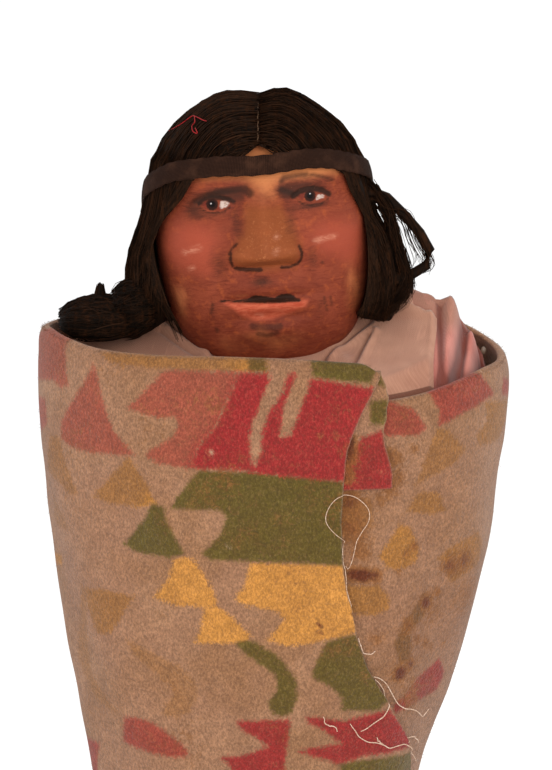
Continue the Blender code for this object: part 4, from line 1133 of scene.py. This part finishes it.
def right_curl(rng, recipe):
    """On the right the ends flare out, and a thin wisp stands off with see-through gaps."""
    flare = np.array([(28.5, -4, 279), (33.5, -4, 272.0), (36.0, -4, 264), (38.6, -5, 256), (40.5, -5, 249.5),
                      (38.0, -6, 244.0), (32, -8, 241)])
    wisp = np.array([(29.3, -4, 275.4), (34.0, -4, 272.0), (38.5, -4.5, 270.8), (43, -5, 262.5), (46.0, -5, 256.2),
                     (44.1, -5, 253.4), (40.5, -5, 252.6), (36, -5, 252)])
    curls = []
    for number in range(330):
        thin = number % 8 == 0
        base = wisp if thin else flare
        inner = rng.uniform(0.0, 1.0) ** (3.0 if thin else 1.0)
        base = base + (np.array([31.0, -4.5, 262.0]) - base) * inner * (0.6 if thin else 0.35) * np.array([1, 1, 0.55])
        path = base + rng.normal(0, 1.0, 3) * np.array([0.5, 1.3, 0.6]) + rng.normal(0, 0.45, base.shape)
        curls.append(along_path(path[: rng.integers(5, len(path) + 1)], 16))
    return strands("wig_right_curl", curls, rng, recipe, (0.09, 0.15), 0.6, (0.3, 0.25))


def parting_stitches():
    """The parting's pale stitching."""
    z = np.linspace(292.4, 303.0, 24)
    share = (z + 1.9 * smooth((z - 276.0) / 14.0) - WIG_DOME) / (WIG_TOP - WIG_DOME)
    path = np.stack([0 * z + WIG_X + 0.1 * np.sin(z * 3), WIG_Y - WIG_FRONT * dome(share) - 0.25, z], -1)
    stitching = thread_recipe("parting_stitches", paint(40, 26, 18), paint(92, 66, 44))
    return tubes("wig_parting", path[None], np.full((1, 24), 0.17), stitching, 6)


def make_hair():
    recipe = hair_recipe()
    pieces = [wig_base(recipe), half_wig("wig_strands_left", 11, recipe, lambda x: x <= WIG_X),
              half_wig("wig_strands_right", 12, recipe, lambda x: x > WIG_X)]
    rng = np.random.default_rng(5)
    return [*pieces, left_heap(rng, recipe), right_curl(rng, recipe), parting_stitches()]


# The headband. Its rises are how far the ribbon lies above its even run, by place
BAND_RISES = (
    (-40, 1.6), (-33, 2.4), (-29, 2.7), (-22.7, 1.9), (-16.3, 1.3), (-9.9, 0.4), (-3.5, -0.1), (2.8, 0.2), (9.2, 0.8),
    (15.6, 0.7), (22, 0.0), (30, -0.4), (40, 0.0),
)


def band_height(x, y):
    """The ribbon's middle, which is lower at the back and on the left."""
    return BAND_HEIGHT - (BAND_TILT_BACK * (y - (WIG_Y - WIG_FRONT)) - BAND_TILT_SIDE * x)


def band_point(angle, above, swell):
    """A point of the ribbon, which lies a little uneven at the front."""
    x, y = wig_point(angle, np.full(np.shape(angle), BAND_HEIGHT), swell)
    for _ in range(6):
        height = band_height(x, y) + above + through(BAND_RISES, x) * smooth((6.0 - y) / 12.0)
        x, y = wig_point(angle, height, swell)
    return np.stack([x, y, height + 0 * x], -1)


def ribbon_recipe():
    r = Recipe("woven_ribbon", Roughness=0.9, Specular_IOR_Level=0.06)
    run = r.vector("run")
    rib = r.bands(run, 0.72, 0.8, 3.0, "X")
    thread = r.bands(run, 0.8, 0.8, 3.0, "Y")
    worn = r.noise(r.place(), 160.0, 3.0, 0.6)
    weave = r.times(rib, thread)
    colour = r.mix(r.spread(weave, 0.1, 0.7), paint(31, 17, 11), paint(60, 37, 26))
    colour = r.mix(r.spread(worn, 0.45, 0.75, 0.0, 0.45), colour, paint(79, 51, 37))
    return r.finish(colour, r.bump(weave, 0.00025, 0.8))


def make_headband():
    columns, across = 620, 10
    angle = np.linspace(0, 2 * math.pi, columns, endpoint=False)
    rows, runs = [], []
    for side in (1, 0):
        for k in range(across + 1):
            share = k / across if side else 1 - k / across
            swell = (0.12 + 0.6 * side) + (0.12 * math.sin(share * math.pi) if side else 0)
            above = -3.0 + 6.0 * share
            edge = 0.12 * np.sin(angle * 47) * (abs(share - 0.5) > 0.49)
            rows.append(band_point(angle, above + edge, swell))
            runs.append(np.stack([angle * 33.0, np.full(columns, above), 0 * angle], -1))
    return skin("headband_ribbon", np.array(rows), ribbon_recipe(), along=True, fields={"run": np.array(runs)})


def thread_recipe(name, dark, light):
    r = Recipe(name, Roughness=0.85, Sheen_Weight=0.05, Specular_IOR_Level=0.06)
    twist = r.noise(r.place(), 2400.0, 2.0, 0.6)
    return r.finish(r.mix(r.spread(twist, 0.35, 0.65), dark, light), r.bump(twist, 0.0001, 0.6))


def make_red_thread():
    recipe = thread_recipe("red_thread", paint(112, 14, 18), paint(158, 34, 34))
    lines = (
        ((-31.8, 291.4), (-28.0, 293.8), (-25.3, 295.8), (-24.4, 296.2), (-21.5, 295.2), (-20.6, 295.0)),
        ((-24.2, 296.2), (-24.0, 294.6), (-24.8, 293.4), (-24.4, 292.0), (-23.2, 291.6), (-23.8, 293.0)),
    )
    paths = []
    for line in lines:
        flat = along_path(line, 30) + np.array([1.2, 2.9])
        x, z = flat[:, 0] - WIG_X, flat[:, 1]
        share = np.clip((z + wig_dip(flat[:, 0], z) - WIG_DOME) / (WIG_TOP - WIG_DOME), 0, 1)
        narrow = dome(share)
        across = np.abs(x) / (WIG_CURTAIN[-1][1] * narrow)
        depth = WIG_FRONT * narrow * np.maximum(0.02, 1 - across**WIG_ROUND) ** (1 / WIG_ROUND)
        paths.append(np.stack([flat[:, 0], -depth - 1.3 + WIG_Y, z], -1))
    return tubes("loose_red_thread", np.array(paths), np.full((2, 30), 0.15), recipe, sides=6)


# Cotton
def cotton_recipe(name, low, high):
    r = Recipe(name, Roughness=0.92, Sheen_Weight=0.2, Specular_IOR_Level=0.2)
    run = r.vector("run")
    warp = r.bands(run, 0.62, 1.2, 2.0, "X")
    weft = r.bands(run, 0.62, 1.2, 2.0, "Y")
    slub = r.noise(r.scaled(run, 0.15, 1.6, 1.0), 1.0, 3.0, 0.6)
    cloud = r.noise(r.place(), 70.0, 3.0, 0.55)
    weave = r.times(warp, weft)
    colour = r.mix(r.spread(cloud, 0.3, 0.7), low, high)
    colour = r.mix(r.field("faded"), colour, paint(158, 110, 92))
    colour = r.mix(r.spread(weave, 0.0, 0.5, 0.16, 0.0), colour, tuple(v * 0.45 for v in low))
    colour = r.mix(r.spread(slub, 0.55, 0.75, 0.0, 0.25), colour, tuple(min(1.0, v * 1.35) for v in high))
    # Painted shade: creases and tucked parts darken towards a deep tone of the cloth
    dark = tuple(v * k for v, k in zip(low, (0.30, 0.18, 0.14)))
    colour = r.mix(r.spread(r.field("fold_shade"), 0.15, 1.3, 0.0, 0.85), colour, dark)
    normal = r.bump(weave, 0.0002, 0.35)
    normal = r.bump(slub, 0.0002, 0.3, normal)
    return r.finish(colour, normal)


def groove(x, y, path, half):
    """1 along a crease's path, falling to 0."""
    return bell(stroke_depth(x, y, path, 0.0), half)


# Each crease as its path, half width and strength
KERCHIEF_FOLDS = (
    (((29, -0.5), (24, -5), (19, -10.5), (14, -16)), 1.1, 1.0),
    (((28, -5), (25.5, -11), (23.5, -17), (22, -24)), 0.9, 0.8),
    (((-32, 2.5), (-26, -3), (-21, -8.5), (-16, -13)), 1.1, 1.0),
    (((-33, -1), (-27, -7), (-21, -13)), 0.9, 0.6),
)


def edge_roll(share):
    """How far the shoulders' rim rounds downwards."""
    return 5.0 * smooth((share - 0.82) / 0.18)


def kerchief_extra(x, y):
    more = 0.0
    for path, half, depth in KERCHIEF_FOLDS:
        more = more - 1.3 * depth * groove(x, y, path, half)
        shifted = tuple((a + 1.9 * half, b + 1.1 * half) for a, b in path)
        more = more + 1.5 * depth * groove(x, y, shifted, half * 1.1)
    return more


def make_kerchief():
    columns = 300
    angle = np.linspace(0, 2 * math.pi, columns, endpoint=False)
    shares = np.concatenate([np.linspace(0.34, 0.955, 84), [0.965, 0.975, 0.985, 0.99, 0.995]])

    def thickness(x, y):
        return 1.6 + 1.4 * hill(np.abs(x + 1.0) + 0.55 * y, 0.0, 12.0, 0.0, 3.2, 1e6)

    def ring(share, on_top):
        x, y = outline_point(angle, np.full(columns, 236.0), BODY_INSET)
        for _ in range(4):
            x, y = outline_point(angle, shoulder_height(x, y) + GAP + thickness(x, y), BODY_INSET)
        edge = KERCHIEF_RIGHT_EDGE + 0.5 - 1.8 * smooth(-y / 25.0)
        reach = s = share * np.minimum(1.0, edge / np.maximum(x, 1.0))
        wave = 0.12 * ripples(np.stack([x * s, y * s, 0 * x], -1), 5.0, 2.2)
        x, y = x * s, y * s
        height = shoulder_height(x, y) + GAP - edge_roll(reach)
        if on_top:
            full = thickness(x, y) * (0.35 + 0.65 * smooth((1.0 - share) / 0.05))
            folds = kerchief_extra(x, y) * smooth((0.98 - share) / 0.05)
            hem = 0.35 * bell(share - 0.965, 0.012)
            height = height + np.maximum(0.35, full * 0.8 + folds + hem + wave)
        return np.stack([x, y, height, reach], -1)

    rows = [ring(s, True) for s in shares] + [ring(s, False) for s in shares[::-7]]
    grid, reach = np.array(rows)[..., :3], np.array(rows)[..., 3]
    x, y, z = np.moveaxis(grid, -1, 0)
    recipe = cotton_recipe("faded_cotton", paint(158, 111, 90), paint(179, 131, 107))
    # Painted shade along the creases
    fold_shade = sum(depth * groove(x, y, path, half * 1.1) for path, half, depth in KERCHIEF_FOLDS)
    # Painted shade where it tucks down behind the wool on the right
    tucked = smooth((reach - 0.93 - 0.02 * smooth((x - 30) / 14)) / 0.025)
    fold_shade = fold_shade + 5.0 * tucked * smooth((x - 18) / 12) * smooth(-y / 10)
    fields = {"run": np.stack([x * 0.8 + y * 0.6, y * 0.8 - x * 0.6 - z, 0 * x], -1), "fold_shade": fold_shade, "faded": 0 * fold_shade}
    return skin("cotton_kerchief", grid, recipe, along=True, fields=fields)


# The shirt's gathers: place, lean, half width and height
RIDGES = ((51.7, 0.13, 2.6, 3.4), (58.2, 0.10, 2.0, 3.2), (62.6, 0.02, 1.1, 1.2))
VALLEYS = ((55.3, 0.17, 1.3, 3.8), (48.5, 0.02, 1.2, 2.8), (60.9, 0.06, 0.7, 2.0))


def pleats(x, y, places, wider=1.0):
    return sum(height * bell(x - at - lean * y, half * wider) for at, lean, half, height in places)


def gathers(x, y):
    folds = pleats(x, y, RIDGES) - pleats(x, y, VALLEYS)
    return folds * smooth((x - 48.0) / 2.0) * smooth((24 - np.abs(y + 2)) / 8) - 0.8 * smooth((x - 46) / 4)


def make_body():
    """The stuffed shirt: smooth under the blanket, with soft gathers at the right shoulder, where it shows."""
    columns = 250
    angle = np.linspace(0, 2 * math.pi, columns, endpoint=False)
    bottom = HEM + 8.0

    def wall(share):
        top = np.full(columns, 236.0)
        for _ in range(4):
            x, y = outline_point(angle, top, BODY_INSET)
            top = shoulder_height(x, y) - 0.8 - 5.0
        height = bottom + (top - bottom) * share
        x, y = outline_point(angle, height, BODY_INSET)
        return x, y, height

    rows = [np.stack(wall(s), -1) for s in np.linspace(0, 1, 26)]
    for share in np.concatenate([[0.992, 0.98, 0.965], np.linspace(0.95, 0.08, 82)]):
        x, y, _ = wall(1.0)
        x, y = x * share, y * share
        height = shoulder_height(x, y) - 0.8 * smooth((share - 0.9) / 0.1) - edge_roll(share)
        height = height + gathers(x, y) * smooth((1.0 - share) / 0.03)
        rows.append(np.stack([x, y, height], -1))
    grid = np.array(rows)
    x, y, z = np.moveaxis(grid, -1, 0)
    recipe = cotton_recipe("pink_cotton", paint(168, 99, 87), paint(195, 124, 110))
    # Painted shade in the gathers' valleys and low down under the wool
    fold_shade = 0.45 * pleats(x, y, VALLEYS, 1.1) * smooth((x - 46) / 2) + 0.9 * smooth((228.0 - z) / 6.0)
    fields = {"run": np.stack([x + 0.3 * y, y - z, 0 * x], -1), "fold_shade": fold_shade, "faded": smooth((z - 233.0) / 7.0)}
    return skin("pink_shirt_body", grid, recipe, fields=fields)


# Legs and shoes
LEG_Y, LEG_SPACING, ANKLE, LEG_TOP = 5.0, 30.0, 9.2, 12.2
SOLE_LENGTH, SOLE_WIDTH, SHOE_HEIGHT = 44.0, 21.5, 17.0


def felt_recipe():
    r = Recipe("brown_felt", Roughness=0.95, Sheen_Weight=0.3, Specular_IOR_Level=0.15)
    where = r.place()
    fine, cloud = r.noise(where, 1500.0, 3.0, 0.7, 0.8), r.noise(where, 90.0, 3.0)
    colour = r.mix(r.spread(cloud, 0.3, 0.7), paint(77, 47, 31), paint(98, 61, 41))
    colour = r.mix(r.spread(fine, 0.35, 0.7, 0.35, 0.0), colour, paint(43, 24, 16))
    return r.finish(colour, r.bump(fine, 0.0004, 0.7))


def suede_recipe():
    r = Recipe("tan_suede", Roughness=0.85, Sheen_Weight=0.15, Specular_IOR_Level=0.2)
    where = r.place()
    fine, cloud = r.noise(where, 1200.0, 3.0, 0.7), r.noise(where, 120.0, 3.0, 0.6)
    colour = r.mix(r.spread(cloud, 0.3, 0.7), paint(119, 78, 46), paint(141, 97, 61))
    colour = r.mix(r.spread(r.field("seam"), 0.2, 0.9), colour, paint(70, 42, 23))
    colour = r.mix(r.spread(fine, 0.35, 0.65, 0.25, 0.0), colour, paint(77, 48, 28))
    return r.finish(colour, r.bump(fine, 0.0002, 0.6))


def make_leg(name, side, recipe):
    top, bottom = HEM + 8.0 - 0.4, SHOE_HEIGHT + 0.4
    middle = -5.0 + side * LEG_SPACING / 2
    a = np.linspace(0, 2 * math.pi, 84, endpoint=False)
    share = np.linspace(0, 1, 84)[:, None]
    bulge = np.interp(share, (0, 0.08, 0.35, 0.7, 1), (0, 0.03, 0.04, 0.02, 0))
    radius = (ANKLE + (LEG_TOP - ANKLE) * share) * (1 + bulge)
    creases = 0.35 * np.sin(share * 34 + 1.3 * np.sin(a * 2 + side)) * smooth(share / 0.06) * smooth((1 - share) / 0.1)
    seam = -0.45 * bell((a - math.pi / 2 * (2 - side)) % (2 * math.pi) - math.pi, 0.09)
    cuff = 0.5 * bell(share - 0.045, 0.02)
    r = radius - 0.25 + creases * 0.5 + seam + cuff
    z = (bottom + (top - bottom) * share) + 0 * a
    grid = np.stack([middle + r * np.sin(a), LEG_Y - r * np.cos(a), z], -1)
    return skin(name, grid, recipe)


def make_shoe(name, side, recipe):
    heel = LEG_Y + 1.25 * ANKLE
    middle = -5.0 + side * LEG_SPACING / 2
    layers = np.array(((0.00, 1.00, 1.00), (0.06, 1.06, 1.10), (0.30, 1.07, 1.12), (0.55, 0.97, 1.08),
                       (0.78, 0.70, 0.98), (1.00, 0.52, 0.92)))
    rise = np.concatenate([[0, 0.004, 0.012], np.linspace(0.02, 1, 56)])
    angle = np.linspace(0, 2 * math.pi, 132, endpoint=False)
    rows, seams = [], []
    for r in rise:
        long, wide = np.interp(r, layers[:, 0], layers[:, 1]), np.interp(r, layers[:, 0], layers[:, 2])
        across = SOLE_WIDTH * wide / 2 * power(np.sin(angle), 2 / 2.4)
        along = -power(np.cos(angle), 2 / 2.4)
        share = (1 - along) / 2
        toe = 0.86 + 0.22 * smooth(share * 1.4)
        y = heel + SOLE_LENGTH * (long - 1) * 0.35 - SOLE_LENGTH * long * share
        x = middle + across * toe
        seam = math.exp(-(((r - 0.13) / 0.035) ** 2))
        stitch = seam * (0.6 + 0.4 * np.sin(angle * 60))
        tuck = 0.35 * np.cos(angle * 22) * smooth((share - 0.55) / 0.2) * math.exp(-(((r - 0.45) / 0.2) ** 2))
        pull = 1 - (0.02 * seam) + 0.012 * tuck
        cy = heel - SOLE_LENGTH / 2
        level = np.full(len(angle), SHOE_HEIGHT * r)
        rows.append(np.stack([middle + (x - middle) * pull, cy + (y - cy) * pull, level], -1))
        seams.append(stitch * 0.8)
    return skin(name, np.array(rows), recipe, fields={"seam": np.array(seams)})


def make_bead():
    """A small dark button half hidden at the end of the right shoulder."""
    r = Recipe("old_button", Specular_IOR_Level=0.5)
    cloud = r.noise(r.place(), 900.0, 3.0)
    colour = r.mix(cloud, paint(66, 50, 38), paint(118, 98, 80))
    r.finish(colour, r.bump(cloud, 0.0001, 0.4), r.spread(cloud, 0.3, 0.7, 0.35, 0.55))
    rise = np.linspace(-math.pi / 2 + 0.1, math.pi / 2 - 0.1, 16)[:, None]
    turn = np.linspace(0, 2 * math.pi, 28, endpoint=False)[None, :]
    x = 61.6 + 0.75 * np.cos(rise) * np.cos(turn)
    y = 2.0 + 0.5 * np.cos(rise) * np.sin(turn)
    z = 229.6 + 1.15 * np.sin(rise) + 0 * turn
    return skin("shoulder_button", np.stack([x, y, z], -1), r)


def make_nap(recipe):
    """Short wool fibres standing off the blanket's outside, thickest along its edges."""
    rng = np.random.default_rng(23)
    count = 5000
    travel = rng.uniform(0.0, 1.0, count)
    down = rng.uniform(0, 1, count)
    rim = rng.uniform(0, 1, count) < 0.2
    down = np.where(rim, 0.004 * rng.uniform(0, 1, count), down)
    lap = (rng.uniform(0, 1, count) < 0.06) & ~rim
    travel = np.where(lap, 0.0006 * rng.uniform(0, 1, count), travel)
    top = through(RIM, 360 * travel) - 0.3 - 1.6 * (1 - smooth(travel * WRAP_LENGTH / 5.0))
    height = top + (HEM - top) * down
    x, y, angle = blanket_point(travel, height, lap_inset(travel))
    away = outward(angle)
    root = np.stack([x, y, height], -1) + away * (wrap_swell(angle, height)[:, None] - 0.1)
    lean = rng.normal(0, 0.7, (count, 3))
    lean[:, 2] -= 0.2
    lean = lean + np.where(rim, 0.15, 0.0)[:, None] * np.array([0, 0, 1.0])
    length = rng.uniform(0.2, 0.62, count)[:, None]
    middle, tip = root + (away * 0.5 + lean * 0.6) * length * 0.6, root + (away * 0.35 + lean) * length
    radii = np.tile(np.array([[0.045, 0.04, 0.015]]), (count, 1))
    fields = blanket_fields(angle, height, travel)
    fields["edge"] = np.where(lap, 1.0, 0.0)
    fields = {k: np.repeat(v[:, None], 3, 1) for k, v in fields.items()}
    return tubes("nap_fibres", np.stack([root, middle, tip], 1), radii, recipe, 3, fields)


# Putting it together
wool = wool_recipe("napped_wool")
blanket = make_blanket(wool)
ply = make_inner_ply(wool)
yarns = make_yarns(thread_recipe("cream_yarn", paint(172, 138, 114), paint(214, 188, 168)))
nap = make_nap(wool)
head = make_head()
hair = make_hair()
band = make_headband()
thread = make_red_thread()
kerchief = make_kerchief()
body = make_body()
bead = make_bead()
felt, suede = felt_recipe(), suede_recipe()
legs = {word: make_leg(f"felt_leg_{word}", side, felt) for side, word in ((-1, "left"), (1, "right"))}
shoes = {word: make_shoe(f"suede_shoe_{word}", side, suede) for side, word in ((-1, "left"), (1, "right"))}

for piece, node in ((blanket, "blanket"), (head, "head"), (hair[0], "hair"), (band, "headband"), (kerchief, "kerchief"),
                    (body, "stuffed_body"), *((legs[w], f"trouser_leg_{w}") for w in legs),
                    *((shoes[w], f"moccasin_{w}") for w in shoes)):
    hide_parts(node)
for piece, slot in ((blanket, "blanket"), (ply, "blanket"), (nap, "blanket"), (head, "head"), (band, "headband"),
                    (kerchief, "kerchief"), (body, "stuffed_body"), (thread, "hair"), (bead, "stuffed_body"),
                    *((y, "blanket") for y in yarns), *((h, "hair") for h in hair),
                    *((p, "trouser_leg") for p in legs.values()), *((p, "moccasin") for p in shoes.values())):
    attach(piece, "root")


def make_stage():
    r = Recipe("pale_floor", Roughness=0.9)
    cloud = r.noise(r.place(), 3.0, 2.0)
    r.finish(r.mix(cloud, paint(250, 250, 250), paint(253, 253, 253)))
    data = bpy.data.meshes.new("studio_floor")
    data.from_pydata([(-4, -3, 0), (4, -3, 0), (4, 5, 0), (-4, 5, 0)], [], [(0, 1, 2, 3)])
    data.materials.append(r.material)
    floor = show("studio_floor", data)
    world = bpy.data.worlds.new("studio_white")
    world.use_nodes = True
    background = world.node_tree.nodes["Background"]
    background.inputs[0].default_value = (1, 1, 1, 1)
    background.inputs[1].default_value = 1.06
    bpy.context.scene.world = world
    for name, place, energy, size in (("key", (0.30, -1.25, 0.50), 8.5, 0.7), ("fill", (-0.60, -1.1, 0.30), 2.0, 0.8),
                                      ("top", (0.0, 0.1, 1.2), 1.0, 0.8)):
        lamp = bpy.data.lights.new(name, "AREA")
        lamp.energy, lamp.size = energy, size
        lamp.color = (1.0, 0.97, 0.93)
        holder = show(name, lamp)
        holder.location = place
        holder.rotation_euler = (Vector((0, 0, 0.2)) - Vector(place)).to_track_quat("-Z", "Y").to_euler()
    bpy.context.scene.view_settings.view_transform = "Standard"


def make_camera():
    tilt, distance = math.radians(7.0), 1.1
    lens = bpy.data.cameras.new("photo_camera")
    lens.lens, lens.sensor_width, lens.clip_start = 175, 36, 0.05
    camera = show("photo_camera", lens)
    camera.location = (0.0006, -distance * math.cos(tilt), 0.2196 + distance * math.sin(tilt))
    camera.rotation_euler = (math.pi / 2 - tilt, 0, 0)
    bpy.context.scene.camera = camera


make_stage()
make_camera()
